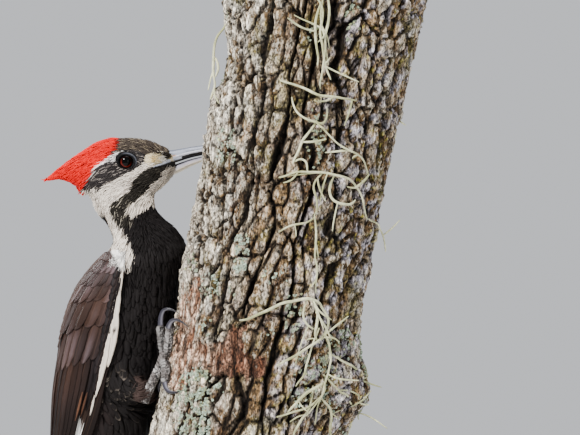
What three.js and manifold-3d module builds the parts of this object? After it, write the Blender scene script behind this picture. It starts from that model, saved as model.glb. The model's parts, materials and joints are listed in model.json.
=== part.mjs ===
// A pileated woodpecker, adult female, life size, clinging to a cut length of tree trunk on a museum stand.
// Millimetres, +Z up. The origin is the middle of the stand's underside. The bird's bill points to +X, its
// right side is turned to -Y, and the trunk leans to +X as it rises.
//
// Most solids are lofts: closed rings joined one to the next. A ring of the body is laid out by two points on
// the bird's midplane, one on its back and one on its front, and by a half-width to the sides.

import * as THREE from "three";
import { mergeVertices } from "three/addons/utils/BufferGeometryUtils.js";
import Module from "manifold-3d";

const wasm = await Module();
wasm.setup();

// ---------------------------------------------------------------- driving dimensions

const GAP = 0.3; // clearance between pieces that touch

// The stand.
const BASE_RADIUS = 115;
const BASE_THICKNESS = 14;
const BASE_BEVEL = 2;
const ROD_RADIUS = 6;
const ROD_HEIGHT = 30;
const ROD_SPREAD = 44;

// The cut length of trunk.
const TRUNK_FOOT = BASE_THICKNESS + ROD_HEIGHT; // height of its lower, level cut
const TRUNK_TOP = 531; // height of its upper, square cut, on the axis
const TRUNK_RADIUS = 58;
const TRUNK_LEAN = 0.1807; // travel along +X for each millimetre of rise
const TRUNK_AXIS_AT_FLOOR = -51; // where the axis meets the floor, along X
const TRUNK_SIDES = 96;
const TRUNK_RINGS = 66;

// The bird.
const CLING_ANGLE = THREE.MathUtils.degToRad(19); // how far round the trunk it sits, from -X towards +Y
const HEAD_TURN = THREE.MathUtils.degToRad(7.5); // yaw of the head's midplane
const HEAD_MIDDLE = { x: -88.5, y: 41 }; // a point of that midplane, seen from above
const EYE = { x: -91.4, z: 407.8, radius: 5.6, spread: 12.2 };

const PLUMAGE_BLACK = 0x17140f;
const PLUMAGE_BROWN = 0x2b211c;
const CREST_RED = 0xd3151a;
const BILL_HORN = 0x8d929c;
const BILL_IVORY = 0xb7ad98;
const EYE_BROWN = 0x2a0a06;
const SCALE_GREY = 0x9b9a93;
const CLAW_GREY = 0x5d5f69;
const BARK_GREY = 0x8f8472;
const STAND_WOOD = 0x2a2420;
const STAND_STEEL = 0x8a8c90;

// ---------------------------------------------------------------- frames

const trunkAxisX = (z) => TRUNK_AXIS_AT_FLOOR + TRUNK_LEAN * z;
const trunkPoint = (z) => new THREE.Vector3(trunkAxisX(z), 0, z);
const TRUNK_DIRECTION = new THREE.Vector3(TRUNK_LEAN, 0, 1).normalize();

// The body's midplane holds the trunk's axis and the direction from it to the bird.
const AWAY = new THREE.Vector3(-Math.cos(CLING_ANGLE), Math.sin(CLING_ANGLE), 0);
const BODY_LEFT = AWAY.clone().cross(TRUNK_DIRECTION).normalize();
const HEAD_LEFT = new THREE.Vector3(-Math.sin(HEAD_TURN), Math.cos(HEAD_TURN), 0);

const onBody = (x, z) =>
  trunkPoint(z).addScaledVector(AWAY, (trunkAxisX(z) - x) / Math.cos(CLING_ANGLE));
const onHead = (x, z) =>
  new THREE.Vector3(x, HEAD_MIDDLE.y + (x - HEAD_MIDDLE.x) * Math.tan(HEAD_TURN), z);

// A point moved to the other side of the bird's midplane.
function mirrored(point) {
  const offset = point.clone().sub(trunkPoint(0)).dot(BODY_LEFT);
  return point.clone().addScaledVector(BODY_LEFT, -2 * offset);
}

// ---------------------------------------------------------------- solids from rings

// Smooth values between the rows of a table, each row a list of numbers.
function smoothRows(rows, count) {
  const last = rows.length - 1;
  return Array.from({ length: count }, (_, i) => {
    const place = (i / (count - 1)) * last;
    const k = Math.min(Math.floor(place), last - 1);
    const t = place - k;
    const [a, b, c, d] = [k - 1, k, k + 1, k + 2].map((n) => rows[Math.max(0, Math.min(last, n))]);
    return b.map((_, n) => {
      const rise = (c[n] - a[n]) / 2;
      const fall = (d[n] - b[n]) / 2;
      const bend = 3 * (c[n] - b[n]) - 2 * rise - fall;
      const turn = 2 * (b[n] - c[n]) + rise + fall;
      return b[n] + t * (rise + t * (bend + t * turn));
    });
  });
}

// A manifold solid from a list of corners and a list of triangles, turned so that its faces point out.
function solidOf(corners, triangles) {
  const geometry = new THREE.BufferGeometry();
  const numbers = corners.flatMap((corner) => corner.toArray());
  geometry.setAttribute("position", new THREE.Float32BufferAttribute(numbers, 3));
  geometry.setIndex(triangles);
  return solidOfGeometry(geometry);
}

function solidOfGeometry(source) {
  const geometry = source.clone();
  geometry.deleteAttribute("normal");
  geometry.deleteAttribute("uv");
  const merged = mergeVertices(geometry, 1e-4);
  const vertProperties = merged.attributes.position.array;
  const build = (triVerts) => new wasm.Manifold(new wasm.Mesh({ numProp: 3, vertProperties, triVerts }));
  const triangles = new Uint32Array(merged.index.array);
  const made = build(triangles);
  return made.volume() > 0 ? made : build(triangles.reverse());
}

// Joins closed rings of equal length into a solid, with a point at each end.
function loft(rings, startPoint, endPoint) {
  const sides = rings[0].length;
  const corners = [...rings.flat(), startPoint, endPoint];
  const start = corners.length - 2;
  const end = corners.length - 1;
  const triangles = [];
  for (let k = 0; k < sides; k++) {
    const next = (k + 1) % sides;
    triangles.push(start, next, k);
    for (let r = 0; r + 1 < rings.length; r++) {
      const low = r * sides;
      const high = low + sides;
      triangles.push(low + k, low + next, high + next, low + k, high + next, high + k);
    }
    const top = (rings.length - 1) * sides;
    triangles.push(end, top + k, top + next);
  }
  return solidOf(corners, triangles);
}

// The point that lies past an end, on the line from the ring inside it.
const beyond = (end, inner, reach) => end.clone().add(end.clone().sub(inner).setLength(reach));

// An ellipse of corners round a centre; across and upward hold the half-axes.
function ellipse(centre, across, upward, sides) {
  return Array.from({ length: sides }, (_, k) => {
    const angle = (2 * Math.PI * k) / sides;
    return centre
      .clone()
      .addScaledVector(across, Math.sin(angle))
      .addScaledVector(upward, Math.cos(angle));
  });
}

// A solid through rows of [back x, back z, front x, front z, half-width, turn], on the bird's midplane.
// turn is 0 on the body's midplane and 1 on the head's. grow makes a larger copy, to cut a neighbour with.
function profileSolid(rows, { count, sides, grow = 0, bluntStart = 1, bluntEnd = 1 }) {
  const rings = smoothRows(rows, count).map((row) => profileRing(row, sides, grow));
  const centres = rings.map((r) => r.centre);
  return loft(
    rings.map((r) => r.corners),
    beyond(centres[0], centres[1], bluntStart + grow),
    beyond(centres.at(-1), centres.at(-2), bluntEnd + grow),
  );
}

function profileRing([backX, backZ, frontX, frontZ, halfWidth, turn = 0], sides, grow) {
  const back = onBody(backX, backZ).lerp(onHead(backX, backZ), turn);
  const front = onBody(frontX, frontZ).lerp(onHead(frontX, frontZ), turn);
  const left = BODY_LEFT.clone().lerp(HEAD_LEFT, turn).normalize();
  const centre = back.clone().lerp(front, 0.5);
  const upward = back.clone().sub(centre);
  upward.setLength(upward.length() + grow);
  const across = left.clone().multiplyScalar(halfWidth + grow);
  return { centre, left, upward, corners: ellipse(centre, across, upward, sides) };
}

// A solid along a line of points, with half-sizes at each: rows of [x, y, z, half-width, half-depth].
// flat is the direction that the half-width lies along.
function limbSolid(rows, flat, { count, sides, grow = 0 }) {
  const table = smoothRows(rows, count);
  const points = table.map(([x, y, z]) => new THREE.Vector3(x, y, z));
  const rings = table.map((row, i) => {
    const before = points[Math.max(i - 1, 0)];
    const along = points[Math.min(i + 1, count - 1)].clone().sub(before).normalize();
    const upward = along.clone().cross(flat).normalize();
    const across = upward.clone().cross(along).normalize();
    across.multiplyScalar(row[3] + grow);
    upward.multiplyScalar(row[4] + grow);
    return ellipse(points[i], across, upward, sides);
  });
  return loft(
    rings,
    beyond(points[0], points[1], 0.5 * table[0][4] + grow),
    beyond(points.at(-1), points.at(-2), 0.5 * table.at(-1)[4] + grow),
  );
}

const cut = (solid, tools) => tools.reduce((left, tool) => left.subtract(tool), solid);
const join = (solids) => solids.reduce((all, next) => all.add(next));
const largest = (solid) => solid.decompose().reduce((a, b) => (a.volume() > b.volume() ? a : b));

// ---------------------------------------------------------------- neck and torso

const BODY_ROWS = [
  [-111, 396.5, -83, 391, 12, 1],
  [-111.5, 380.5, -71.5, 384.5, 15, 0.85],
  [-106, 371.5, -71, 379, 14.5, 0.7],
  [-100.5, 363, -67, 371.5, 15.5, 0.5],
  [-97.5, 355.5, -57.5, 364.5, 19.5, 0.3],
  [-100.5, 348, -51, 354, 24.5, 0.12],
  [-107.5, 338, -49.5, 343, 28, 0],
  [-115, 325, -54.5, 330, 30, 0],
  [-121, 309, -58, 315.5, 31, 0],
  [-125.5, 291, -61, 294.5, 31, 0],
  [-128, 271.5, -65, 273, 29.5, 0],
  [-129.5, 252, -69, 250.5, 27, 0],
  [-130, 232.5, -75.5, 228, 23.5, 0],
  [-129, 214.5, -88, 208, 19, 0],
  [-127, 197.5, -101.5, 190, 13.5, 0],
  [-124.5, 181, -109.5, 174, 9, 0],
  [-121.5, 166, -114.5, 161, 5, 0],
];
const BODY_SHAPE = { count: 25, sides: 20, bluntStart: 3, bluntEnd: 3 };
const bodySolid = (grow = 0) => profileSolid(BODY_ROWS, { ...BODY_SHAPE, grow });

// A thin plate through the base of the neck parts it from the torso.
const NECK_CUT = { x: -77.5, z: 357, size: 90, lean: -0.1 };

function neckCut() {
  const middle = onBody(NECK_CUT.x, NECK_CUT.z);
  const plate = new THREE.BoxGeometry(NECK_CUT.size, NECK_CUT.size, GAP);
  const up = new THREE.Vector3(NECK_CUT.lean, 0, 1).normalize();
  plate.applyQuaternion(new THREE.Quaternion().setFromUnitVectors(new THREE.Vector3(0, 0, 1), up));
  plate.translate(middle.x, middle.y, middle.z);
  return solidOfGeometry(plate);
}

// ---------------------------------------------------------------- head, crest, bill and eyes

const HEAD_ROWS = [
  [-60, 414.8, -56, 400.5, 7],
  [-65, 416.5, -62, 394, 9.5],
  [-70.5, 419.5, -68, 388.5, 12],
  [-77, 422, -73.5, 384.5, 14.5],
  [-85.5, 423, -82.5, 383.5, 16.6],
  [-94.5, 422.5, -94, 382, 17.2],
  [-103, 420.5, -105, 383.5, 16.2],
  [-110.5, 416.5, -113, 386.5, 13],
  [-115.5, 410.5, -117.5, 391, 8.5],
].map((row) => [...row, 1]);
const headSolid = (grow = 0) =>
  profileSolid(HEAD_ROWS, { count: 12, sides: 18, grow, bluntStart: 1, bluntEnd: 3 });

const CREST_ROWS = [
  [-91.5, 423, -93, 413, 7],
  [-100.5, 423.4, -100.5, 405, 12.5],
  [-107.5, 421.2, -109.5, 394.5, 13.5],
  [-115, 417, -117, 385.6, 11.5],
  [-122, 411.8, -122.5, 390.5, 8],
  [-129, 406.2, -129, 395, 5.2],
  [-135, 401.6, -134.5, 395.4, 3.2],
  [-141, 397.6, -140.5, 393.8, 1.4],
].map((row) => [...row, 1]);
const crestSolid = (grow = 0) =>
  profileSolid(CREST_ROWS, { count: 10, sides: 14, grow, bluntStart: 1, bluntEnd: 3 });

// The upper half of the bill runs straight to a chisel tip; the lower half closes under it.
const BILL_UPPER_ROWS = [
  [-66, 414.5, -67, 405, 5.6],
  [-59, 415, -59, 406, 5.6],
  [-47.5, 417, -48, 409.5, 4.9],
  [-37, 418.5, -37.5, 412, 4.1],
  [-26.5, 420, -26.5, 415.5, 3.1],
  [-17.5, 421, -17.5, 419, 1.9],
].map((row) => [...row, 1]);
const BILL_LOWER_ROWS = [
  [-66, 404.5, -63, 397.5, 5.2],
  [-59, 405.4, -57.5, 399, 5.1],
  [-48, 409, -47.5, 404, 4.4],
  [-37.5, 411.5, -37.5, 408.3, 3.5],
  [-26.5, 415, -26.5, 413.3, 2.5],
  [-18, 418.4, -18, 417.4, 1.4],
].map((row) => [...row, 1]);
const BILL_SHAPE = { count: 7, sides: 12, bluntStart: 1, bluntEnd: 4 };
const billUpper = (grow = 0) => profileSolid(BILL_UPPER_ROWS, { ...BILL_SHAPE, grow });
const billLower = (grow = 0) => profileSolid(BILL_LOWER_ROWS, { ...BILL_SHAPE, grow });

const eyeCentre = (side) =>
  onHead(EYE.x, EYE.z).addScaledVector(HEAD_LEFT, side * EYE.spread);

function eyeSolid(side, grow = 0) {
  const ball = new THREE.SphereGeometry(EYE.radius + grow, 14, 8);
  const centre = eyeCentre(side);
  ball.translate(centre.x, centre.y, centre.z);
  return solidOfGeometry(ball);
}

// A shallow dish in the side of the head that the lids close on.
const ORBIT = { halfLength: 5, halfDepth: 2.6, halfHeight: 4.8, outward: 5.4 };

function orbitDish(side) {
  const dish = new THREE.SphereGeometry(1, 14, 8);
  dish.scale(ORBIT.halfLength, ORBIT.halfDepth, ORBIT.halfHeight);
  dish.rotateZ(HEAD_TURN);
  const centre = onHead(EYE.x, EYE.z).addScaledVector(HEAD_LEFT, side * (EYE.spread + ORBIT.outward));
  dish.translate(centre.x, centre.y, centre.z);
  return solidOfGeometry(dish);
}

// ---------------------------------------------------------------- wings

// Rows of [back x, back z, front x, front z, half-width, thickness, from, to]: the ring that the folded wing
// lies on, its thickness there, and the stretch that it covers, in degrees round from the back.
const WING_ROWS = [
  [-102, 346, -50.5, 353, 25, 1.2, 42, 66],
  [-107.5, 338, -49.5, 343, 28, 3.2, 30, 84],
  [-115, 325, -54.5, 330, 30, 4.6, 18, 94],
  [-121, 309, -58, 315.5, 31, 5, 9, 96],
  [-125.5, 291, -61, 294.5, 31, 5, 5, 95],
  [-128, 271.5, -65, 273, 29.5, 5, 4, 92],
  [-129.5, 252, -69, 250.5, 27, 5, 4, 88],
  [-130.5, 232.5, -75.5, 228, 23.5, 4.8, 4, 83],
  [-131, 213, -90, 208, 20, 4.4, 4, 79],
  [-130.5, 193.5, -103, 189.5, 16, 3.8, 4, 76],
  [-129, 174, -108, 171.5, 13.5, 3.2, 5, 72],
  [-126.5, 154.5, -109, 152.5, 12, 2.7, 6, 66],
  [-123.5, 137, -110, 135.5, 10.5, 2.1, 10, 58],
  [-120, 121, -111, 119.5, 9.5, 1.2, 20, 44],
];
const WING_RINGS = 22;
const WING_STEPS = 7; // across the wing, on each face
const WING_LIFT = 1.4; // how far the wing's inner face stands off the body
const WING_EDGE = 0.3; // share of the thickness that is left at its edges
const WING_POINT = 3; // length of the blunt points at its two ends

function wingSolid(side, grow = 0) {
  const rings = smoothRows(WING_ROWS, WING_RINGS).map((row) => {
    const [backX, backZ, frontX, frontZ, halfWidth, thickness, from, to] = row;
    const { centre, left, upward } = profileRing([backX, backZ, frontX, frontZ, 1], 4, 0);
    left.normalize().multiplyScalar(side);
    const at = (share, lift) => {
      const angle = THREE.MathUtils.degToRad(from + (to - from) * share);
      return centre
        .clone()
        .addScaledVector(left, Math.sin(angle) * (halfWidth + lift))
        .addScaledVector(upward, Math.cos(angle) * (1 + lift / upward.length()));
    };
    const full = (share) =>
      thickness * (WING_EDGE + (1 - WING_EDGE) * Math.sqrt(Math.sin(Math.PI * share)));
    const outer = [];
    const inner = [];
    for (let k = 0; k <= WING_STEPS; k++) {
      const share = k / WING_STEPS;
      outer.push(at(share, WING_LIFT + full(share) + grow));
      inner.unshift(at(share, WING_LIFT - grow));
    }
    return { corners: [...outer, ...inner], middle: at(0.5, WING_LIFT + thickness / 2) };
  });
  return loft(
    rings.map((r) => r.corners),
    beyond(rings[0].middle, rings[1].middle, WING_POINT + grow),
    beyond(rings.at(-1).middle, rings.at(-2).middle, WING_POINT + grow),
  );
}

// ---------------------------------------------------------------- tail

// Stiff, pointed feathers in a fan: the middle pair is the longest, and its tips rest on the bark.
const TAIL_PAIRS = 5;
const TAIL_ROOT = { x: -122, z: 196, spread: 1.6, halfWidth: 2.2 };
const TAIL_BEND = { x: -118, z: 150, spread: 3.2, halfWidth: 5.2 };
const TAIL_TIP = { x: -101.2, z: 62, spread: 4.6, halfWidth: 6.2 };
const TAIL_STEP = 9; // how much shorter a feather is than the one inside it
const TAIL_CUP = 1.1; // how much nearer to the trunk it lies
const TAIL_SAG = 1.35; // above 1, the fan bends in towards the trunk near its end

function tailFeather(side, pair, grow = 0) {
  const spot = ({ spread }, x, z, cup) =>
    onBody(x, z)
      .addScaledVector(BODY_LEFT, side * (pair + 0.5) * spread)
      .addScaledVector(AWAY, -cup * TAIL_CUP * pair);
  const low = TAIL_TIP.z + TAIL_STEP * pair ** 1.25;
  const share = (TAIL_BEND.z - low) / (TAIL_BEND.z - TAIL_TIP.z);
  const lowX = THREE.MathUtils.lerp(TAIL_BEND.x, TAIL_TIP.x, share ** TAIL_SAG);
  const root = spot(TAIL_ROOT, TAIL_ROOT.x, TAIL_ROOT.z, 0.6);
  const bend = spot(TAIL_BEND, TAIL_BEND.x, TAIL_BEND.z, 0.8);
  const tip = spot(TAIL_TIP, lowX, low, 1);
  const shoulder = bend.clone().lerp(tip, 0.62).addScaledVector(AWAY, 1.8);
  const neckOfTip = shoulder.clone().lerp(tip, 0.55).addScaledVector(AWAY, 0.3);
  const rows = [
    [...root.toArray(), TAIL_ROOT.halfWidth, 1.2],
    [...bend.toArray(), TAIL_BEND.halfWidth, 1.15],
    [...shoulder.toArray(), TAIL_TIP.halfWidth, 1],
    [...neckOfTip.toArray(), 0.72 * TAIL_TIP.halfWidth, 0.85],
    [...tip.toArray(), 0.9, 0.6],
  ];
  return limbSolid(rows, BODY_LEFT, { count: 7, sides: 6, grow });
}

function tailSolid(grow = 0) {
  const feathers = [];
  for (let pair = 0; pair < TAIL_PAIRS; pair++) {
    for (const side of [-1, 1]) feathers.push(tailFeather(side, pair, grow));
  }
  return join(feathers);
}

// ---------------------------------------------------------------- legs

// The right leg, as rows of [x, y, z, half-width, half-depth]. The left one is its mirror image, set lower.
const LEG = {
  thigh: [
    [-100, 14, 272, 8, 13],
    [-90, 7, 261, 7.5, 10.5],
    [-82.5, 3, 257, 5.6, 7],
    [-78.2, 0.6, 254.6, 3.8, 4.6],
  ],
  shank: [
    [-77, -0.2, 252, 2.9, 3.6],
    [-73.6, -2, 259, 2.4, 2.9],
    [-68.4, -4.8, 270, 2.4, 2.7],
    [-64.2, -7, 278.6, 2.9, 3],
  ],
  foot: [
    [-65.2, -6.5, 276.4, 3.4, 3.1],
    [-63.6, -8, 280.2, 3.8, 3.3],
    [-62.8, -9, 283, 3, 2.8],
  ],
  // Each toe: its bones, then the claw as [root, bend, tip] points.
  toes: {
    inner_front: {
      bones: [
        [-63.8, -6.2, 282.5, 2.6, 2.6],
        [-65.4, -4.8, 291, 2.3, 2.5],
        [-66.3, -4, 299.6, 2.3, 2.6],
      ],
      claw: [[-66.2, -4, 301.6], [-65.4, -5, 316.8], [-53.6, -9.5, 306.6]],
    },
    outer_front: {
      bones: [
        [-61.2, -10.4, 284.2, 2.7, 2.7],
        [-60.2, -13, 292.5, 2.4, 2.7],
        [-59.6, -14.6, 300.2, 2.4, 2.7],
      ],
      claw: [[-59.4, -14.8, 302], [-56.6, -18.5, 314], [-50, -24.6, 302.4]],
    },
    outer_back: {
      bones: [
        [-62.6, -11.4, 276.8, 2.9, 2.9],
        [-62.2, -16.2, 271, 2.6, 2.8],
        [-62.6, -20.4, 265.4, 2.5, 2.7],
      ],
      claw: [[-62.6, -21.4, 263.8], [-62.6, -27.6, 253.4], [-53.8, -33.6, 259.4]],
    },
    hind: {
      bones: [
        [-63.4, -4.6, 275, 2.3, 2.3],
        [-64, -2, 270.6, 2.1, 2.2],
        [-65, 0.2, 266.4, 2, 2.1],
      ],
      claw: [[-65.4, 0.8, 264.8], [-69.6, 2.6, 258.2], [-64.4, 3.4, 255.8]],
    },
  },
};
const LEFT_FOOT_DROP = 9;
const CLAW = { rings: 6, tipWidth: 0.3, width: 1.5, tipDepth: 0.35, depth: 2.25 }; // half-sizes

// Rows for one side of the bird: the left leg mirrors the right one and stands a little lower on the trunk.
function onSide(rows, side, drop = LEFT_FOOT_DROP) {
  if (side < 0) return rows;
  return rows.map(([x, y, z, ...sizes]) => {
    const point = mirrored(new THREE.Vector3(x, y, z)).addScaledVector(TRUNK_DIRECTION, -drop);
    return [...point.toArray(), ...sizes];
  });
}

const thighSolid = (side, grow = 0) =>
  limbSolid(onSide(LEG.thigh, side), BODY_LEFT, { count: 6, sides: 12, grow });
const shankSolid = (side, grow = 0) =>
  limbSolid(onSide(LEG.shank, side), BODY_LEFT, { count: 5, sides: 8, grow });
const footSolid = (side, grow = 0) =>
  limbSolid(onSide(LEG.foot, side), BODY_LEFT, { count: 4, sides: 8, grow });
const toeSolid = (side, toe, grow = 0) =>
  limbSolid(onSide(toe.bones, side), toeFlat(side, toe), { count: 4, sides: 7, grow });

// Across a toe: at right angles to the toe and to the way from the trunk's axis out to it.
function toeFlat(side, toe) {
  const [first, , last] = onSide(toe.bones, side).map(([x, y, z]) => new THREE.Vector3(x, y, z));
  const out = first.clone().sub(trunkPoint(first.z)).normalize();
  return last.clone().sub(first).cross(out).normalize();
}

// A claw follows a quadratic curve from the end of its toe to the bark, deep at its root and sharp at its tip.
function clawSolid(side, toe, grow = 0) {
  const [root, bend, tip] = onSide(toe.claw, side).map((p) => new THREE.Vector3(...p));
  const curve = new THREE.QuadraticBezierCurve3(root, bend, tip);
  const flat = bend.clone().sub(root).cross(tip.clone().sub(root)).normalize();
  const rows = curve.getPoints(CLAW.rings - 1).map((point, i) => {
    const share = 1 - i / (CLAW.rings - 1);
    const width = CLAW.tipWidth + (CLAW.width - CLAW.tipWidth) * share;
    const depth = CLAW.tipDepth + (CLAW.depth - CLAW.tipDepth) * share ** 0.8;
    return [...point.toArray(), width, depth];
  });
  return limbSolid(rows, flat, { count: CLAW.rings, sides: 6, grow });
}

// ---------------------------------------------------------------- the trunk and the stand

// Swellings and hollows of the trunk: [height, degrees round from -X to -Y, rise, reach up, reach round].
const TRUNK_LUMPS = [
  [262, 176, 15, 22, 30], // a burr on the far side from the bird
  [470, 0, -4.5, 19, 40], // a hollow above the bill
  [520, 90, 3.5, 60, 170],
  [300, 28, -2.2, 24, 20], // worn bark by the right foot
  [120, 240, 5, 50, 60],
  [90, 60, 3, 40, 50],
];

const TRUNK_WAIST = { height: 360, reach: 200, flare: 2.2 }; // it widens above and below this height

function trunkRadius(z, degrees) {
  const flare = TRUNK_WAIST.flare * Math.abs((z - TRUNK_WAIST.height) / TRUNK_WAIST.reach) ** 1.5;
  return TRUNK_LUMPS.reduce((radius, [height, round, rise, up, wide]) => {
    const apart = ((degrees - round + 540) % 360) - 180;
    return radius + rise * Math.exp(-(((z - height) / up) ** 2) - (apart / wide) ** 2);
  }, TRUNK_RADIUS + flare);
}

// The bark's main fissures part it into tall plates. The plates round the trunk are the cells nearest to points
// of a shaken lattice, whose places wander a little along the trunk.
const BARK = {
  around: 19, // plates round the trunk
  tall: 50, // height of a plate
  seed: 5,
  shake: [0.45, 0.85], // how far the points stray from the lattice, round and up, as a share of a cell
  groove: 4.6, // half-width of a fissure at its mouth
  depth: 5.2, // of an upright fissure
  crossDepth: 2.2, // of a crack across the trunk
  bend: { size: 16, seed: 91, squeeze: 0.5, round: 0.2, up: 5 },
  sway: { size: 42, seed: 94, squeeze: 0.35, round: 0.4 },
};
// The bark is left whole where the bird grips it: [lowest height, highest height, direction, reach round].
const GRIP = { low: 40, high: 335, degrees: -19, reach: 46 };
const BILL_REST = { height: 421, degrees: -48, reach: 20 };

// A repeatable number from 0 to 1 for each cell of a lattice.
function lattice(cell, seed) {
  const primes = [374761393, 668265263, 1103515245];
  let mix = (seed * 144665 + 1013) >>> 0;
  cell.forEach((n, axis) => {
    mix = (mix ^ Math.imul(n, primes[axis])) >>> 0;
    mix = (Math.imul(mix, 1274126177) + 12345) >>> 0;
    mix = (mix ^ (mix >>> 15)) >>> 0;
  });
  return (mix & 0xffffff) / 0xffffff;
}

// Smooth noise in space in two layers, around 0.
function drift(point, size, seed) {
  let total = 0;
  for (const octave of [0, 1]) {
    const scaled = point.map((value) => (value * 2 ** octave) / size);
    const base = scaled.map(Math.floor);
    const ease = scaled.map((value, axis) => (value - base[axis]) ** 2 * (3 - 2 * (value - base[axis])));
    let sum = 0;
    for (let corner = 0; corner < 8; corner++) {
      const step = [corner & 1, (corner >> 1) & 1, corner >> 2];
      const share = step.reduce((product, on, axis) => product * (on ? ease[axis] : 1 - ease[axis]), 1);
      sum += share * lattice(base.map((value, axis) => value + step[axis]), seed + 31 * octave);
    }
    total += (2 * sum - 1) / 2 ** octave;
  }
  return total;
}

// How deep the main fissures are at a place on the trunk, 0 on the plates.
function fissure(point, axial, degrees) {
  const { bend, sway, around, tall, seed, shake } = BARK;
  const wobble = drift([point.x, point.y, point.z * bend.squeeze], bend.size, bend.seed);
  const wander = drift([point.x, point.y, point.z * sway.squeeze], sway.size, sway.seed);
  const spot = [
    (degrees / 360) * around + bend.round * wobble + sway.round * wander,
    (axial + bend.up * wobble) / tall,
  ];
  const near = [];
  for (const du of [-1, 0, 1]) {
    for (const dv of [-2, -1, 0, 1, 2]) {
      const cell = [Math.floor(spot[0]) + du, Math.floor(spot[1]) + dv];
      const key = [((cell[0] % around) + around) % around, cell[1]];
      const centre = cell.map((n, axis) => n + 0.5 + shake[axis] * (lattice(key, seed + axis) - 0.5));
      near.push({ centre, gap: Math.hypot(spot[0] - centre[0], spot[1] - centre[1]) });
    }
  }
  near.sort((a, b) => a.gap - b.gap);
  const [own, other] = near.map(({ centre }) => centre);
  const across = [other[0] - own[0], other[1] - own[1]];
  const length = Math.hypot(...across);
  const wide = (2 * Math.PI * TRUNK_RADIUS) / around;
  const slope = [across[0] / length / wide, across[1] / length / tall];
  const edge =
    (((own[0] + other[0]) / 2 - spot[0]) * across[0] + ((own[1] + other[1]) / 2 - spot[1]) * across[1]) /
    length / Math.hypot(...slope);
  const upright = Math.abs(slope[0]) / Math.hypot(...slope);
  const depth = BARK.crossDepth + (BARK.depth - BARK.crossDepth) * upright;
  return depth * Math.max(0, 1 - edge / BARK.groove);
}

// 1 where the bird's weight and bill rest on the bark, 0 away from them.
function gripped(axial, degrees) {
  const apart = (from) => ((degrees - from + 540) % 360) - 180;
  const level = THREE.MathUtils.smoothstep(axial, GRIP.low - 20, GRIP.low) -
    THREE.MathUtils.smoothstep(axial, GRIP.high, GRIP.high + 15);
  const feet = 1 - THREE.MathUtils.smoothstep(Math.abs(apart(GRIP.degrees)), 0.8 * GRIP.reach, GRIP.reach);
  const off = Math.hypot(apart(BILL_REST.degrees), axial - BILL_REST.height);
  const bill = 1 - THREE.MathUtils.smoothstep(off, 0.6 * BILL_REST.reach, BILL_REST.reach);
  return Math.max(level * feet, bill);
}

function trunkSolid() {
  const rings = Array.from({ length: TRUNK_RINGS }, (_, i) => {
    const share = i / (TRUNK_RINGS - 1);
    return Array.from({ length: TRUNK_SIDES }, (_, k) => {
      const angle = (2 * Math.PI * k) / TRUNK_SIDES;
      const degrees = (360 * k) / TRUNK_SIDES;
      // The lower cut is level and the upper one is square to the axis; rings between them turn evenly.
      const axial = TRUNK_FOOT + (TRUNK_TOP - TRUNK_FOOT) * share;
      const radius = trunkRadius(axial, degrees);
      const rise = TRUNK_LEAN * Math.cos(angle) * share;
      const outward = new THREE.Vector3(-Math.cos(angle), -Math.sin(angle), rise);
      const skin = trunkPoint(axial).addScaledVector(outward, radius);
      const depth = fissure(skin, axial, degrees) * (1 - gripped(axial, degrees));
      return skin.addScaledVector(outward, -depth);
    });
  });
  return loft(rings, trunkPoint(TRUNK_FOOT), trunkPoint(TRUNK_TOP));
}

function baseSolid() {
  const outline = [
    [0, 0],
    [BASE_RADIUS - BASE_BEVEL / 2, 0],
    [BASE_RADIUS, BASE_BEVEL / 2],
    [BASE_RADIUS, BASE_THICKNESS - BASE_BEVEL],
    [BASE_RADIUS - BASE_BEVEL, BASE_THICKNESS],
    [0, BASE_THICKNESS],
  ].map(([radius, height]) => new THREE.Vector2(radius, height));
  const disc = new THREE.LatheGeometry(outline, 36);
  disc.rotateX(Math.PI / 2);
  return solidOfGeometry(disc);
}

function rodSolid(side) {
  const rod = new THREE.CylinderGeometry(ROD_RADIUS, ROD_RADIUS, ROD_HEIGHT - 2 * GAP, 16);
  rod.rotateX(Math.PI / 2);
  rod.translate(trunkAxisX(TRUNK_FOOT) + (side * ROD_SPREAD) / 2, 0, BASE_THICKNESS + ROD_HEIGHT / 2);
  return solidOfGeometry(rod);
}

// ---------------------------------------------------------------- the whole model

const material = (name, color, roughness, metalness = 0) =>
  new THREE.MeshStandardMaterial({ name, color, roughness, metalness });
const MATERIALS = {
  black: material("plumage_black", PLUMAGE_BLACK, 0.7),
  brown: material("plumage_brown", PLUMAGE_BROWN, 0.6),
  red: material("plumage_red", CREST_RED, 0.6),
  horn: material("bill_horn", BILL_HORN, 0.35),
  ivory: material("bill_ivory", BILL_IVORY, 0.4),
  eye: material("eye", EYE_BROWN, 0.05),
  scales: material("leg_scales", SCALE_GREY, 0.6),
  claw: material("claw", CLAW_GREY, 0.3),
  bark: material("bark", BARK_GREY, 0.9),
  wood: material("stand_wood", STAND_WOOD, 0.4),
  steel: material("stand_steel", STAND_STEEL, 0.3, 1),
};

const model = new THREE.Group();
model.name = "pileated_woodpecker";

function place(name, solid, finish) {
  const { numProp, numVert, vertProperties, triVerts } = solid.getMesh();
  const corners = new Float32Array(numVert * 3);
  for (let i = 0; i < numVert; i++) {
    corners.set(vertProperties.subarray(i * numProp, i * numProp + 3), i * 3);
  }
  const geometry = new THREE.BufferGeometry();
  geometry.setAttribute("position", new THREE.BufferAttribute(corners, 3));
  geometry.setIndex(new THREE.BufferAttribute(triVerts, 1));
  const mesh = new THREE.Mesh(geometry, MATERIALS[finish]);
  mesh.name = name;
  model.add(mesh);
}

const SIDES = { right: -1, left: 1 };
const eachSide = (make) => Object.entries(SIDES).map(([name, side]) => make(side, name));

const headGrown = headSolid(GAP);
const wingsGrown = eachSide((side) => wingSolid(side, GAP));
const bodyGrown = bodySolid(GAP);

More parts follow.
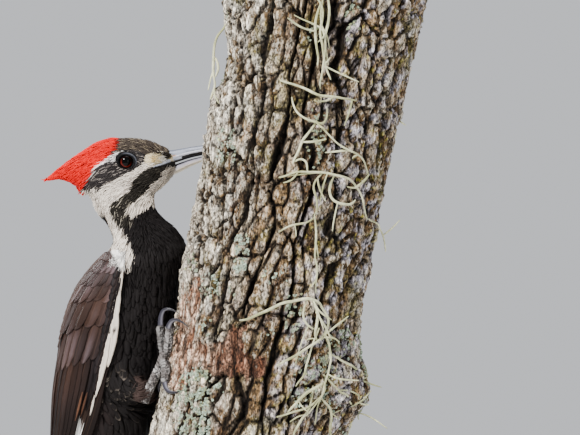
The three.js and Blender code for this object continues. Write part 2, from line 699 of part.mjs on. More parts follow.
// Head, crest, bill and eyes.
const headCuts = [
  billUpper(GAP),
  billLower(GAP),
  ...eachSide((side) => eyeSolid(side, GAP)),
  ...eachSide(orbitDish),
];
place("head", largest(cut(headSolid(), headCuts)), "black");
place("crest", largest(cut(crestSolid(), [headGrown])), "red");
place("bill_upper", billUpper(), "horn");
place("bill_lower", largest(cut(billLower(), [billUpper(GAP)])), "ivory");
eachSide((side, name) => place(`eye_${name}`, eyeSolid(side), "eye"));

// Neck and torso: one form, parted at the base of the neck.
const trunkOfBird = cut(bodySolid(), [headGrown, crestSolid(GAP), neckCut()]);
const [torso, neck] = trunkOfBird.decompose().sort((a, b) => b.volume() - a.volume());
place("neck", neck, "black");
place("torso", torso, "black");

// Wings and tail.
eachSide((side, name) => place(`wing_${name}`, largest(cut(wingSolid(side), [bodyGrown])), "brown"));
place("tail", largest(cut(tailSolid(), [bodyGrown, ...wingsGrown])), "black");

// Legs, feet and claws.
const gripCutters = [];
eachSide((side, name) => {
  place(`thigh_${name}`, largest(cut(thighSolid(side), [bodyGrown, ...wingsGrown])), "black");
  place(`shank_${name}`, largest(cut(shankSolid(side), [thighSolid(side, GAP)])), "scales");
  place(`foot_${name}`, largest(cut(footSolid(side), [shankSolid(side, GAP)])), "scales");
  const before = [shankSolid(side, GAP), footSolid(side, GAP)];
  for (const [toeName, toe] of Object.entries(LEG.toes)) {
    place(`toe_${toeName}_${name}`, largest(cut(toeSolid(side, toe), before)), "scales");
    const toeGrown = toeSolid(side, toe, GAP);
    place(`claw_${toeName}_${name}`, largest(cut(clawSolid(side, toe), [toeGrown])), "claw");
    before.push(toeGrown);
    gripCutters.push(clawSolid(side, toe, GAP));
  }
  gripCutters.push(...before);
});

// The trunk makes room for what grips it, and stands on two rods.
const trunkCuts = [...gripCutters, tailSolid(GAP), bodyGrown, billUpper(GAP), billLower(GAP)];
place("perch_trunk", largest(cut(trunkSolid(), trunkCuts)), "bark");
place("stand_base", baseSolid(), "wood");
eachSide((side, name) => place(`stand_rod_${name}`, rodSolid(side), "steel"));

export default model;
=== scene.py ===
"""The looks of a pileated woodpecker on its cut length of trunk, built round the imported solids.

Tables and sizes are in millimetres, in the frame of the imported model, and meshes are made in metres. The
bird's markings and the lie of its coat are laid out on its right side, as seen along +Y, and are mirrored
over its midplane, which turns from the body's to the head's along the neck.
"""

import json
import logging
import math
from collections import defaultdict
from dataclasses import dataclass, field
from enum import Enum

import bmesh
import bpy
import numpy as np
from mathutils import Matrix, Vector
from mathutils.bvhtree import BVHTree

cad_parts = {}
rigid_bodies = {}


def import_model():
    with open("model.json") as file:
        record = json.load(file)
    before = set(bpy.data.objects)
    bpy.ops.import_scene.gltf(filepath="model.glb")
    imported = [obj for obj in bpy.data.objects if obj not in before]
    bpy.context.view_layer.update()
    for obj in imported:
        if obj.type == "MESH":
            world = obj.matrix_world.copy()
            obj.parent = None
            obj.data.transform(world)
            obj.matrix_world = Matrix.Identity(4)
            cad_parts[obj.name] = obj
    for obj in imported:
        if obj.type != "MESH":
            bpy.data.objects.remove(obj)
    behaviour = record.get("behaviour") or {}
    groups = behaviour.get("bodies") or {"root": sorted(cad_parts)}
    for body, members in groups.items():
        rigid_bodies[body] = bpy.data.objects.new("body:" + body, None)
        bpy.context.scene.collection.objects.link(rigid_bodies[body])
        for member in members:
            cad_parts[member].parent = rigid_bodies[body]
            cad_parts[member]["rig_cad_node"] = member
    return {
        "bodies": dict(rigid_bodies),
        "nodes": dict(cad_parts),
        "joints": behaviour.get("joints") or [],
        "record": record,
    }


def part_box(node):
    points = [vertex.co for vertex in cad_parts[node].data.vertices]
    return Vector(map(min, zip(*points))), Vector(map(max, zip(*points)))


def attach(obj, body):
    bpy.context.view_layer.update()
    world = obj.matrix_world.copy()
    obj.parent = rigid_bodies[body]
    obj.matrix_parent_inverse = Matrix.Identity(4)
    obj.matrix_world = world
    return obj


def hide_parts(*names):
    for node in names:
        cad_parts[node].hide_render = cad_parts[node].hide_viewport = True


LOG = logging.getLogger("woodpecker")
MM = 0.001
BODY = "root"
Array = np.ndarray
UP = np.array([0, 0, 1.0])


class Side(Enum):
    """A side of the bird, as a factor along its left."""

    RIGHT = -1
    LEFT = 1


# ---------------------------------------------------------------- numbers


def unit(vectors: Array) -> Array:
    """Scales vectors to length one.

    Args:
        vectors: Vectors along the last axis.

    Returns:
        The same directions, each of length one.
    """
    length = np.linalg.norm(vectors, axis=-1, keepdims=True)
    return vectors / np.maximum(length, 1e-9)


def dot(a: Array, b: Array) -> Array:
    """Multiplies vectors into numbers.

    Args:
        a: Vectors along the last axis.
        b: Vectors along the last axis.

    Returns:
        Their dot products, with a last axis of one.
    """
    return (a * b).sum(axis=-1, keepdims=True)


def fade(values: Array, low: float, high: float) -> Array:
    """Eases values from 0 at low to 1 at high.

    Args:
        values: The values.
        low: Where the result starts to rise.
        high: Where it reaches one.

    Returns:
        Numbers from 0 to 1.
    """
    t = np.clip((values - low) / (high - low), 0, 1)
    return t * t * (3 - 2 * t)


def mixed(colour: Array, other: Array, share: Array) -> Array:
    """Mixes colours.

    Args:
        colour: The first colours.
        other: The second ones.
        share: How much of the second ones, with a last axis of one.

    Returns:
        The mixed colours.
    """
    return colour + (other - colour) * share


def circle(count: int) -> Array:
    """Lays out even angles round a circle.

    Args:
        count: How many.

    Returns:
        Radians, from 0 on.
    """
    return np.linspace(0, 2 * np.pi, count, endpoint=False)


def way_round(degrees: Array, start: float) -> Array:
    """Measures the shorter way round from one direction to others.

    Args:
        degrees: The directions that it goes to.
        start: The direction that it goes from.

    Returns:
        Degrees from -180 to 180.
    """
    return (degrees - start + 540) % 360 - 180


def bell(values: Array, middle: float, width: float) -> Array:
    """Peaks smoothly at one value.

    Args:
        values: The values.
        middle: Where the result is one.
        width: How far from there it has fallen to about a third.

    Returns:
        Numbers from 0 to 1.
    """
    return np.exp(-(((values - middle) / width) ** 2))


def along_table(rows: Array, places: Array) -> Array:
    """Reads smooth values between the rows of a table.

    Args:
        rows: A table, one row for each step along a form.
        places: Places along it, from 0 at the first row to 1 at the last.

    Returns:
        One row of values for each place.
    """
    table = np.asarray(rows, float)
    last = len(table) - 1
    spot = np.clip(places, 0, 1) * last
    k = np.minimum(spot.astype(int), last - 1)
    t = (spot - k)[..., None]
    a, b, c, d = (table[np.clip(k + n, 0, last)] for n in (-1, 0, 1, 2))
    rise, fall = (c - a) / 2, (d - b) / 2
    bend = 3 * (c - b) - 2 * rise - fall
    turn = 2 * (b - c) + rise + fall
    return b + t * (rise + t * (bend + t * turn))


def lattice(cells: Array, seed: int) -> Array:
    """Gives each cell of a lattice its own repeatable number.

    Args:
        cells: Whole numbers, with the lattice's axes last.
        seed: Chooses one of many such lattices.

    Returns:
        Numbers from 0 to 1.
    """
    mix = np.full(cells.shape[:-1], seed * 144665 + 1013, np.int64)
    for axis, prime in zip(range(cells.shape[-1]), (374761393, 668265263, 1103515245)):
        mix = (mix ^ (cells[..., axis].astype(np.int64) * prime)) & 0xFFFFFFFF
        mix = (mix * 1274126177 + 12345) & 0xFFFFFFFF
        mix ^= mix >> 15
    return (mix & 0xFFFFFF) / 0xFFFFFF


def drift(points: Array, size: float, seed: int, octaves: int = 1) -> Array:
    """Smooth noise in space.

    Args:
        points: Points, three numbers each.
        size: The width of its largest swells.
        seed: Chooses the noise.
        octaves: How many finer layers are added, each half as large.

    Returns:
        Numbers around 0, mostly within -1 to 1.
    """
    total = np.zeros(points.shape[:-1])
    for octave in range(octaves):
        scaled = points / (size / 2**octave)
        base = np.floor(scaled)
        t = scaled - base
        t = t * t * (3 - 2 * t)
        value = np.zeros(points.shape[:-1])
        for corner in np.ndindex(2, 2, 2):
            share = np.prod(np.where(np.array(corner) == 1, t, 1 - t), axis=-1)
            value += share * lattice(base + corner, seed + 31 * octave)
        total += (2 * value - 1) / 2**octave
    return total


def inside(outline: tuple, points: Array) -> Array:
    """Signed distance from points to a closed outline.

    Args:
        outline: The corners of the outline, two numbers each.
        points: Points, two numbers each.

    Returns:
        Distances, positive inside the outline.
    """
    corners = np.asarray(outline, float)
    following = np.roll(corners, -1, axis=0)
    nearest = np.full(len(points), np.inf)
    within = np.zeros(len(points), bool)
    for a, b in zip(corners, following):
        edge, to = b - a, points - a
        share = np.clip((to @ edge) / (edge @ edge), 0, 1)
        nearest = np.minimum(nearest, np.linalg.norm(to - share[:, None] * edge, axis=1))
        crosses = (a[1] > points[:, 1]) != (b[1] > points[:, 1])
        if a[1] != b[1]:
            at = a[0] + (points[:, 1] - a[1]) / (b[1] - a[1]) * edge[0]
            within ^= crosses & (points[:, 0] < at)
    return np.where(within, nearest, -nearest)


# ---------------------------------------------------------------- the bird's stance


@dataclass(frozen=True)
class Stance:
    """How the trunk leans and how the bird sits on it; the same values as in the part's source."""

    lean: float = 0.1807
    foot: float = -51.0
    cling: float = math.radians(19)
    turn: float = math.radians(7.5)
    head_x: float = -88.5
    head_y: float = 41.0
    neck_low: float = 345.0
    neck_high: float = 378.0

    @property
    def up(self) -> Array:
        """The direction of the trunk's axis."""
        return unit(np.array([self.lean, 0, 1]))

    @property
    def away(self) -> Array:
        """The level direction from the trunk's axis to the bird."""
        return np.array([-math.cos(self.cling), math.sin(self.cling), 0])

    @property
    def left(self) -> Array:
        """The left of the body."""
        return unit(np.cross(self.away, self.up))

    @property
    def head_left(self) -> Array:
        """The left of the head."""
        return np.array([-math.sin(self.turn), math.cos(self.turn), 0])

    @property
    def head_forward(self) -> Array:
        """The way the bill points, seen from above."""
        return np.array([math.cos(self.turn), math.sin(self.turn), 0])

    def axis(self, height: Array) -> Array:
        """Finds points on the trunk's axis."""
        height = np.asarray(height, float)
        return np.stack([self.foot + self.lean * height, 0 * height, height], axis=-1)

    def on_body(self, x: Array, z: Array) -> Array:
        """Places side-view points on the body's midplane."""
        axis = self.axis(z)
        return axis + self.away * ((axis[..., :1] - np.asarray(x)[..., None]) / math.cos(self.cling))

    def on_head(self, x: Array, z: Array) -> Array:
        """Places side-view points on the head's midplane.

        Args:
            x: Places along X.
            z: Heights.

        Returns:
            Points of the midplane.
        """
        x, z = np.asarray(x, float), np.asarray(z, float)
        y = self.head_y + (x - self.head_x) * math.tan(self.turn)
        return np.stack([x, y + 0 * z, z], axis=-1)

    def ring(self, rows: Array, places: Array) -> tuple[Array, Array, Array, Array]:
        """Lays out rings of a form that is told by its back and front on the midplane.

        Args:
            rows: Rows of back x, back z, front x, front z, half-width, ..., and last the turn to the head.
            places: Places along the rows, from 0 to 1.

        Returns:
            The rings' centres, their unit lefts, the vectors to their backs, and the values of the rows.
        """
        values = along_table(rows, places)
        turn = values[..., -1:]
        back, front = (
            (1 - turn) * self.on_body(values[..., n], values[..., n + 1])
            + turn * self.on_head(values[..., n], values[..., n + 1])
            for n in (0, 2)
        )
        centre = (back + front) / 2
        left = unit((1 - turn) * self.left + turn * self.head_left)
        return centre, left, back - centre, values

    def right_side(self, points: Array) -> tuple[Array, Array]:
        """Mirrors the points of the left side to the right side.

        Args:
            points: Points on the bird.

        Returns:
            The points as x and z in the side view, and how far left each one really was.
        """
        turn = fade(points[:, 2], self.neck_low, self.neck_high)[:, None]
        left = unit((1 - turn) * self.left + turn * self.head_left)
        head = np.array([self.head_x, self.head_y, 0])
        middle = (1 - turn) * self.axis(0) + turn * head
        offset = dot(points - middle, left)
        folded = points - 2 * np.maximum(offset, 0) * left
        return folded[:, [0, 2]], offset[:, 0]

    def level_forward(self, height: Array) -> Array:
        """The bird's level forward direction at some heights."""
        turn = fade(height, self.neck_low, self.neck_high)[:, None]
        return unit(turn * self.head_forward - (1 - turn) * self.away)


STANCE = Stance()

BODY_ROWS = (
    (-111, 396.5, -83, 391, 12, 1),
    (-111.5, 380.5, -71.5, 384.5, 15, 0.85),
    (-106, 371.5, -71, 379, 14.5, 0.7),
    (-100.5, 363, -67, 371.5, 15.5, 0.5),
    (-97.5, 355.5, -57.5, 364.5, 19.5, 0.3),
    (-100.5, 348, -51, 354, 24.5, 0.12),
    (-107.5, 338, -49.5, 343, 28, 0),
    (-115, 325, -54.5, 330, 30, 0),
    (-121, 309, -58, 315.5, 31, 0),
    (-125.5, 291, -61, 294.5, 31, 0),
    (-128, 271.5, -65, 273, 29.5, 0),
    (-129.5, 252, -69, 250.5, 27, 0),
    (-130, 232.5, -75.5, 228, 23.5, 0),
    (-129, 214.5, -88, 208, 19, 0),
    (-127, 197.5, -101.5, 190, 13.5, 0),
    (-124.5, 181, -109.5, 174, 9, 0),
    (-121.5, 166, -114.5, 161, 5, 0),
)


# ---------------------------------------------------------------- meshes from arrays


@dataclass
class Form:
    """A mesh in the making, in millimetres: points, faces of three or four corners, and values at points."""

    points: Array
    faces: list[Array]
    values: dict[str, Array] = field(default_factory=dict)

    @staticmethod
    def joined(forms: list["Form"]) -> "Form":
        """Joins forms into one.

        Args:
            forms: Forms that carry the same values.

        Returns:
            One form with all their points and faces.
        """
        starts = np.cumsum([0] + [len(f.points) for f in forms[:-1]])
        faces = defaultdict(list)
        for start, form in zip(starts, forms):
            for corners in form.faces:
                faces[corners.shape[1]].append(corners + start)
        return Form(
            np.concatenate([f.points for f in forms]),
            [np.concatenate(group) for group in faces.values()],
            {k: np.concatenate([f.values[k] for f in forms]) for k in forms[0].values},
        )

    def piece(self, name: str, material: bpy.types.Material, smooth: bool = True) -> bpy.types.Object:
        """Makes the mesh object, at the origin and in metres.

        Args:
            name: The piece's name.
            material: Its only material.
            smooth: Whether its faces are shaded smooth.

        Returns:
            The new object, linked to the scene.
        """
        mesh = bpy.data.meshes.new(name)
        mesh.vertices.add(len(self.points))
        mesh.vertices.foreach_set("co", (self.points * MM).astype(np.float32).ravel())
        corners = np.concatenate([f.ravel() for f in self.faces]).astype(np.int32)
        totals = np.concatenate([np.full(len(f), f.shape[1], np.int32) for f in self.faces])
        mesh.loops.add(len(corners))
        mesh.loops.foreach_set("vertex_index", corners)
        mesh.polygons.add(len(totals))
        mesh.polygons.foreach_set("loop_start", np.cumsum(np.append(0, totals[:-1])).astype(np.int32))
        mesh.polygons.foreach_set("loop_total", totals)
        mesh.polygons.foreach_set("use_smooth", np.full(len(totals), smooth))
        mesh.update(calc_edges=True)
        for key, value in self.values.items():
            if key == "OFBake":
                layer = mesh.uv_layers.new(name=key)
                layer.data.foreach_set("uv", value[corners].astype(np.float32).ravel())
            elif value.ndim == 1:
                kept = mesh.attributes.new(key, "FLOAT", "POINT")
                kept.data.foreach_set("value", value.astype(np.float32))
            else:
                kept = mesh.attributes.new(key, "FLOAT_VECTOR", "POINT")
                kept.data.foreach_set("vector", value.astype(np.float32).ravel())
        mesh.materials.append(material)
        piece = bpy.data.objects.new(name, mesh)
        bpy.context.scene.collection.objects.link(piece)
        LOG.info("%s: %d triangles", name, int((totals - 2).sum()))
        return piece


def place(piece: bpy.types.Object, slot: str, *nodes: str) -> bpy.types.Object:
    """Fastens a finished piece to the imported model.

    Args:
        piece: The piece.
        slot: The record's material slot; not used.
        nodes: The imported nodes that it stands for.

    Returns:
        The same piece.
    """
    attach(piece, BODY)
    if nodes:
        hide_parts(*nodes)
    return piece


def sleeve(rings: int, sides: int) -> list[Array]:
    """Faces of a closed tube of rings, with a point before the first ring and one past the last.

    Args:
        rings: How many rings there are.
        sides: How many corners a ring has.

    Returns:
        The tube's quads and its two fans; the end points come after the rings.
    """
    k = np.arange(sides)
    after = (k + 1) % sides
    low = (np.arange(rings - 1) * sides)[:, None]
    quads = np.stack([low + k, low + after, low + sides + after, low + sides + k], axis=-1)
    first, last, top = rings * sides, rings * sides + 1, (rings - 1) * sides
    start = np.stack([np.full(sides, first), after, k], axis=-1)
    end = np.stack([np.full(sides, last), top + k, top + after], axis=-1)
    return [quads.reshape(-1, 4), np.concatenate([start, end])]


def repeated(faces: list[Array], count: int, size: int) -> list[Array]:
    """Repeats the faces of one form for many forms like it.

    Args:
        faces: The first form's faces.
        count: How many forms there are.
        size: How many points each one has.

    Returns:
        The faces of them all.
    """
    starts = (np.arange(count) * size)[:, None, None]
    return [(starts + f[None]).reshape(-1, f.shape[1]) for f in faces]


def tube(rings: Array, start: Array, end: Array, values: dict[str, Array] | None = None) -> Form:
    """Closes rings of corners into a form.

    Args:
        rings: Corners, as an array of rings by sides by three.
        start: The point before the first ring.
        end: The point past the last ring.
        values: Values at the corners, as arrays of rings by sides; the end points take their ring's mean.

    Returns:
        The closed form; turned_out sets right which way its faces point.
    """
    count, sides = rings.shape[:2]
    kept = {}
    for key, value in (values or {}).items():
        ends = np.stack([value[0].mean(axis=0), value[-1].mean(axis=0)])
        kept[key] = np.concatenate([value.reshape(count * sides, *value.shape[2:]), ends])
    points = np.concatenate([rings.reshape(-1, 3), [start, end]])
    return Form(points, sleeve(count, sides), kept)


def solid_points(names: list[str]) -> tuple[list[Array], list[Array]]:
    """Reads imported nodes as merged, triangulated meshes.

    Args:
        names: The nodes' names.

    Returns:
        For each node, its points in millimetres and its triangles.
    """
    nodes = {o["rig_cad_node"]: o for o in bpy.data.objects if "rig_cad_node" in o}
    points, faces = [], []
    for name in names:
        solid = bmesh.new()
        solid.from_mesh(nodes[name].data)
        bmesh.ops.remove_doubles(solid, verts=solid.verts, dist=1e-6)
        bmesh.ops.triangulate(solid, faces=solid.faces)
        solid.normal_update()
        points.append(np.array([v.co for v in solid.verts]) / MM)
        faces.append(np.array([[v.index for v in f.verts] for f in solid.faces]))
        solid.free()
    return points, faces


def corner_normals(points: Array, triangles: Array) -> Array:
    """Finds smooth normals.

    Args:
        points: The mesh's points.
        triangles: Its triangles.

    Returns:
        One unit normal for each point.
    """
    a, b, c = (points[triangles[:, k]] for k in range(3))
    face = np.cross(b - a, c - a)
    total = np.zeros_like(points)
    for k in range(3):
        np.add.at(total, triangles[:, k], face)
    return unit(total)


def fused(names: list[str], voxel: float, swell: float, rounds: int) -> tuple[Array, Array]:
    """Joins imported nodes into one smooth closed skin.

    Args:
        names: The nodes' names.
        voxel: The width of the remesh's cells.
        swell: How far each node is grown first, which closes the gaps between them.
        rounds: How often the result is smoothed.

    Returns:
        Its points and its triangles.
    """
    bits = []
    for points, triangles in zip(*solid_points(names)):
        grown = points + swell * corner_normals(points, triangles)
        bits.append(Form(grown, [triangles]))
    rough = Form.joined(bits).piece("rough_skin", bpy.data.materials.new("rough"))
    remesh = rough.modifiers.new("fuse", "REMESH")
    remesh.mode = "VOXEL"
    remesh.voxel_size = voxel * MM
    smooth = rough.modifiers.new("ease", "SMOOTH")
    smooth.factor = 0.5
    smooth.iterations = rounds
    graph = bpy.context.evaluated_depsgraph_get()
    made = bpy.data.meshes.new_from_object(rough.evaluated_get(graph))
    bpy.data.materials.remove(rough.data.materials[0])
    bpy.data.meshes.remove(rough.data)
    made.calc_loop_triangles()
    points = np.zeros(len(made.vertices) * 3)
    made.vertices.foreach_get("co", points)
    triangles = np.zeros(len(made.loop_triangles) * 3, np.int32)
    made.loop_triangles.foreach_get("vertices", triangles)
    bpy.data.meshes.remove(made)
    return points.reshape(-1, 3) / MM, triangles.reshape(-1, 3)


# ---------------------------------------------------------------- markings


def tone(red: float, green: float, blue: float) -> Array:
    """Turns a screen colour into the linear colour that shaders take.

    Args:
        red: Red, from 0 to 255.
        green: Green, from 0 to 255.
        blue: Blue, from 0 to 255.

    Returns:
        The linear colour.
    """
    share = np.array([red, green, blue]) / 255
    return np.where(share <= 0.04045, share / 12.92, ((share + 0.055) / 1.055) ** 2.4)


BLACK = tone(19, 16, 16)
BROWN = tone(40, 29, 27)
COPPER = tone(104, 70, 52)
WHITE = tone(250, 247, 242)
RED = tone(208, 0, 4)
# an orange red for the painted highlights on the red crest
FLAME_HIGHLIGHT = tone(240, 44, 36)
SLATE = tone(46, 42, 42)
FOREHEAD = tone(62, 54, 48)
STREAK = tone(128, 116, 98)
BUFF = tone(230, 214, 176)
CHIN = tone(218, 206, 192)


@dataclass(frozen=True)
class Marking:
    """A marking of the bird's side: its outline as x and z, its colours and how soft its edge is."""

    name: str
    outline: tuple[tuple[float, float], ...]
    colour: Array
    fleck: Array
    flecks: float = 0.15
    edge: float = 0.8


MARKINGS = (
    Marking(
        "crown and crest",
        (
            (-86, 428), (-92.9, 422.6), (-95.6, 419.4), (-95.1, 416.7), (-95.4, 414.5), (-97, 413.4),
            (-99.3, 411), (-101.6, 407.8), (-105.2, 404.9), (-108, 403), (-109.5, 400.8), (-111.9, 398.4),
            (-114.2, 397), (-115.2, 395.2), (-117.5, 392.3), (-117.7, 390.2), (-116.6, 385), (-123, 378),
            (-150, 388), (-150, 402), (-123, 422), (-101, 430),
        ),
        # its orange flecks are painted highlights
        RED, FLAME_HIGHLIGHT, 0.05, 1.1,
    ),
    Marking(
        "forehead",
        (
            (-86, 428), (-92.9, 422.4), (-94.7, 419.5), (-95.4, 416.6), (-97.6, 414.1), (-100.4, 411.4),
            (-98.3, 412.1), (-92.5, 414.4), (-86, 414.6), (-80.9, 413.7), (-76.9, 411.9), (-74, 410.7),
            (-72.2, 411.9), (-67.9, 413.3), (-62.1, 413), (-50, 414.5), (-60, 428),
        ),
        FOREHEAD, STREAK, 0.2, 1.4,
    ),
    Marking(
        "ear patch",
        (
            (-102.3, 408.1), (-98.3, 412.1), (-92.5, 414.4), (-86, 414.6), (-80.9, 413.7), (-76.9, 411.9),
            (-74, 410.7), (-76.6, 408.1), (-79.5, 404.9), (-83.1, 402.1), (-89.6, 399.1), (-94, 396.2),
            (-98.3, 394.5), (-102, 393), (-104.1, 390.9), (-106.9, 387.2), (-109.9, 388.7), (-113.6, 387.8),
            (-116.1, 390.1), (-116.6, 393.4), (-114.9, 396.5), (-112, 399.1), (-109.1, 402.3),
            (-105.9, 405.6),
        ),
        SLATE, tone(136, 128, 122), 0.2, 0.5,
    ),
    Marking(
        "brow line",
        (
            (-86.9, 413.3), (-90.5, 413.9), (-93.5, 413.6), (-96.3, 412.9), (-99.5, 411.3), (-102.2, 408.6),
            (-105.8, 405.9), (-108.8, 404), (-110.2, 401.5), (-112.4, 398.8), (-114.2, 397),
            (-113.5, 396.8), (-111.2, 399.3), (-109, 401.9), (-106.6, 404.2), (-102.5, 406.4), (-98.6, 408),
            (-95.4, 408.4), (-94.8, 409.8), (-94.6, 411.6), (-92.2, 412.7),
            (-88, 412.5),
        ),
        WHITE, SLATE, 0.2, 0.4,
    ),
    Marking(
        "speckles behind the eye",
        (
            (-94.4, 413.2), (-99.2, 411.2), (-102, 408.4), (-103.8, 406.4), (-99.5, 406.6), (-95.4, 407.2),
            (-94, 409.5),
        ),
        tone(236, 232, 230), tone(20, 18, 20), 0.6, 0.5,
    ),
    Marking(
        "cheek and neck stripe",
        (
            (-50, 414), (-62, 412.9), (-67.9, 413.2), (-72.2, 411.9), (-76.6, 408.1), (-79.5, 404.9),
            (-83.1, 402.1),
            (-89.6, 399.1), (-94, 396.2), (-98.3, 394.5), (-102, 393), (-104.1, 390.9), (-106.9, 387.2),
            (-109.9, 388.7), (-113.6, 387.8), (-116.1, 390.1), (-119, 386), (-118, 372), (-102, 356.5),
            (-97, 353), (-97.2, 345), (-94.7, 341.2), (-92.4, 339.5), (-90.2, 338), (-87, 339.5),
            (-83.9, 342.6), (-82.3, 345.5), (-84.5, 349), (-86, 352), (-87.7, 355.7), (-89.6, 359.3),
            (-92.4, 363.7), (-94.6, 367.3), (-97.4, 371.3), (-99.6, 375.3), (-99.2, 378.9), (-95.4, 382.4),
            (-91.1, 384.8), (-87.1, 387.6), (-85.4, 392), (-83.5, 395.6), (-80.6, 398.6), (-76.2, 402),
            (-71.5, 403.9), (-68.6, 405.7), (-61, 407.5), (-50, 410),
        ),
        tone(226, 216, 203), tone(172, 160, 150), 0.28, 0.5,
    ),
    Marking(
        "mantle",
        ((-97, 353), (-101.5, 357.5), (-126, 346), (-130, 326), (-104, 322), (-97.2, 342)),
        tone(62, 47, 43), tone(104, 84, 76), 0.4, 1.6,
    ),
    Marking(
        "buff by the bill",
        (
            (-56, 412.4), (-67.9, 412.9), (-72.9, 411.8), (-76.2, 409.1), (-76.1, 406.2), (-73, 404.6),
            (-67.9, 405.9), (-56, 409.5),
        ),
        BUFF, WHITE, 0.3, 1.2,
    ),
    Marking(
        "throat",
        (
            (-50, 404), (-59.5, 402.8), (-62.8, 400.3), (-67.9, 396.2), (-72.2, 393), (-75.1, 389.4),
            (-79.5, 385.1), (-83.1, 381.7), (-86.7, 379.3), (-89.3, 376.7), (-89.3, 373.5), (-86, 371.3),
            (-82.4, 372.7), (-77.7, 376), (-73.3, 378.2), (-66, 379), (-60, 385), (-45, 396),
        ),
        CHIN, tone(176, 172, 160), 0.25, 0.7,
    ),
    Marking(
        "moustache",
        (
            (-58, 403.9), (-71.5, 403.9), (-76.2, 402), (-80.6, 398.6), (-83.5, 395.6), (-85.4, 392),
            (-87.1, 387.6), (-91.1, 384.8), (-95.4, 382.4), (-99.2, 378.9), (-99.6, 375.3), (-97.2, 371.3),
            (-94, 367.3), (-90, 362), (-84, 369), (-87.5, 373), (-89.3, 376.7), (-86.7, 379.3),
            (-83.1, 381.7), (-79.5, 385.1), (-75.1, 389.4), (-72.2, 393), (-67.9, 396.2), (-62.8, 400.3),
            (-59.5, 402.8),
        ),
        tone(36, 33, 29), tone(70, 66, 58), 0.1, 0.45,
    ),
)
SCALLOPED = ((-104, 282), (-88, 278), (-80, 268), (-82, 246), (-90, 238), (-104, 244), (-112, 262))
THIGH = ((-84, 268), (-79, 270), (-73, 269), (-72, 250), (-78, 248), (-83, 253))
MOTTLED = ((-101, 381), (-92, 384), (-84, 376), (-86, 362), (-96, 364))
NAPE = 5.0  # half-width of the black strip down the back of the neck


class Plumage:
    """Colours of the feathers, by where on the bird they show."""

    def __init__(self, seed: int = 3) -> None:
        """Starts the random numbers."""
        self.random = np.random.default_rng(seed)

    def skin(self, points: Array) -> Array:
        """Colours without the differences from feather to feather."""
        return self.of(points, 0.0)[0]

    def of(self, points: Array, variety: float = 1.0) -> tuple[Array, Array]:
        """Colours of feathers.

        Args:
            points: Where they show.
            variety: How much one feather differs from the next.

        Returns:
            A linear colour for each feather, and one for its tip.
        """
        side, offset = STANCE.right_side(points)
        chance = self.random.random((len(points), 3))
        brown = fade(drift(points, 26, 5, 2), -0.5, 0.9) * fade(-side[:, 0], 88, 118)
        colour = mixed(BLACK, BROWN, np.clip(brown, 0, 1)[:, None])
        for marking in MARKINGS:
            depth = inside(marking.outline, side) + 0.5 * variety * (chance[:, 1] - 0.5)
            share = fade(depth, -marking.edge / 2, marking.edge / 2)[:, None]
            fleck = (chance[:, :1] < marking.flecks) * variety * (0.35 + 0.65 * chance[:, 2:])
            own = mixed(marking.colour, marking.fleck, fleck)
            colour = mixed(colour, own, share)
        behind = side[:, 0] < np.interp(side[:, 1], (345, 362, 384), (-92, -98, -108))
        neck = fade(side[:, 1], 346, 350) * (1 - fade(side[:, 1], 373, 376))
        nape = behind * neck * (1 - fade(np.abs(offset), NAPE - 0.8, NAPE + 0.8))
        colour = mixed(colour, BLACK, nape[:, None])
        speckled = fade(inside(MOTTLED, side), -1, 1.5) * (chance[:, 0] < 0.2) * variety
        colour = mixed(colour, tone(150, 142, 128), speckled[:, None] * (colour[:, :1] < 0.1))
        thigh = fade(inside(THIGH, side), -1.5, 2)[:, None]
        colour = mixed(colour, tone(88, 70, 64) * (0.35 + 1.0 * variety * chance[:, :1] ** 2), thigh)
        # Along the crest's flow, paler orange streaks and darker streaks: painted highlights and painted
        # shade of its silky strands.
        flow = side @ np.array([[-0.93, 0.37], [-0.37, -0.93]]).T
        streak = drift(np.stack([flow[:, 0] * 0.12, flow[:, 1], offset], axis=1), 1.5, 52, 2)
        crested = fade(inside(MARKINGS[0].outline, side), 0, 2)
        colour = mixed(colour, FLAME_HIGHLIGHT, (0.4 * variety * fade(streak, 0.3, 0.9) * crested)[:, None])
        colour = colour * (1 - 0.2 * variety * fade(-streak, 0.2, 0.9) * crested)[:, None]
        colour = colour * (1 + 0.26 * variety * (chance[:, 1:2] - 0.5) * (1 - 0.6 * crested)[:, None])
        fringe = fade(inside(SCALLOPED, side), -3, 4) * (chance[:, 2] < 0.5) * (0.2 + 0.8 * chance[:, 0])
        tip = colour * 1.3 + (tone(146, 134, 122) - colour) * 0.5 * fringe[:, None]
        return colour, tip


# ---------------------------------------------------------------- the coat


@dataclass(frozen=True)
class Lie:
    """How the coat grows at one place of the right side; between such places it changes smoothly."""

    x: float
    z: float
    forward: float
    up: float
    length: float
    width: float
    spacing: float
    depth: float


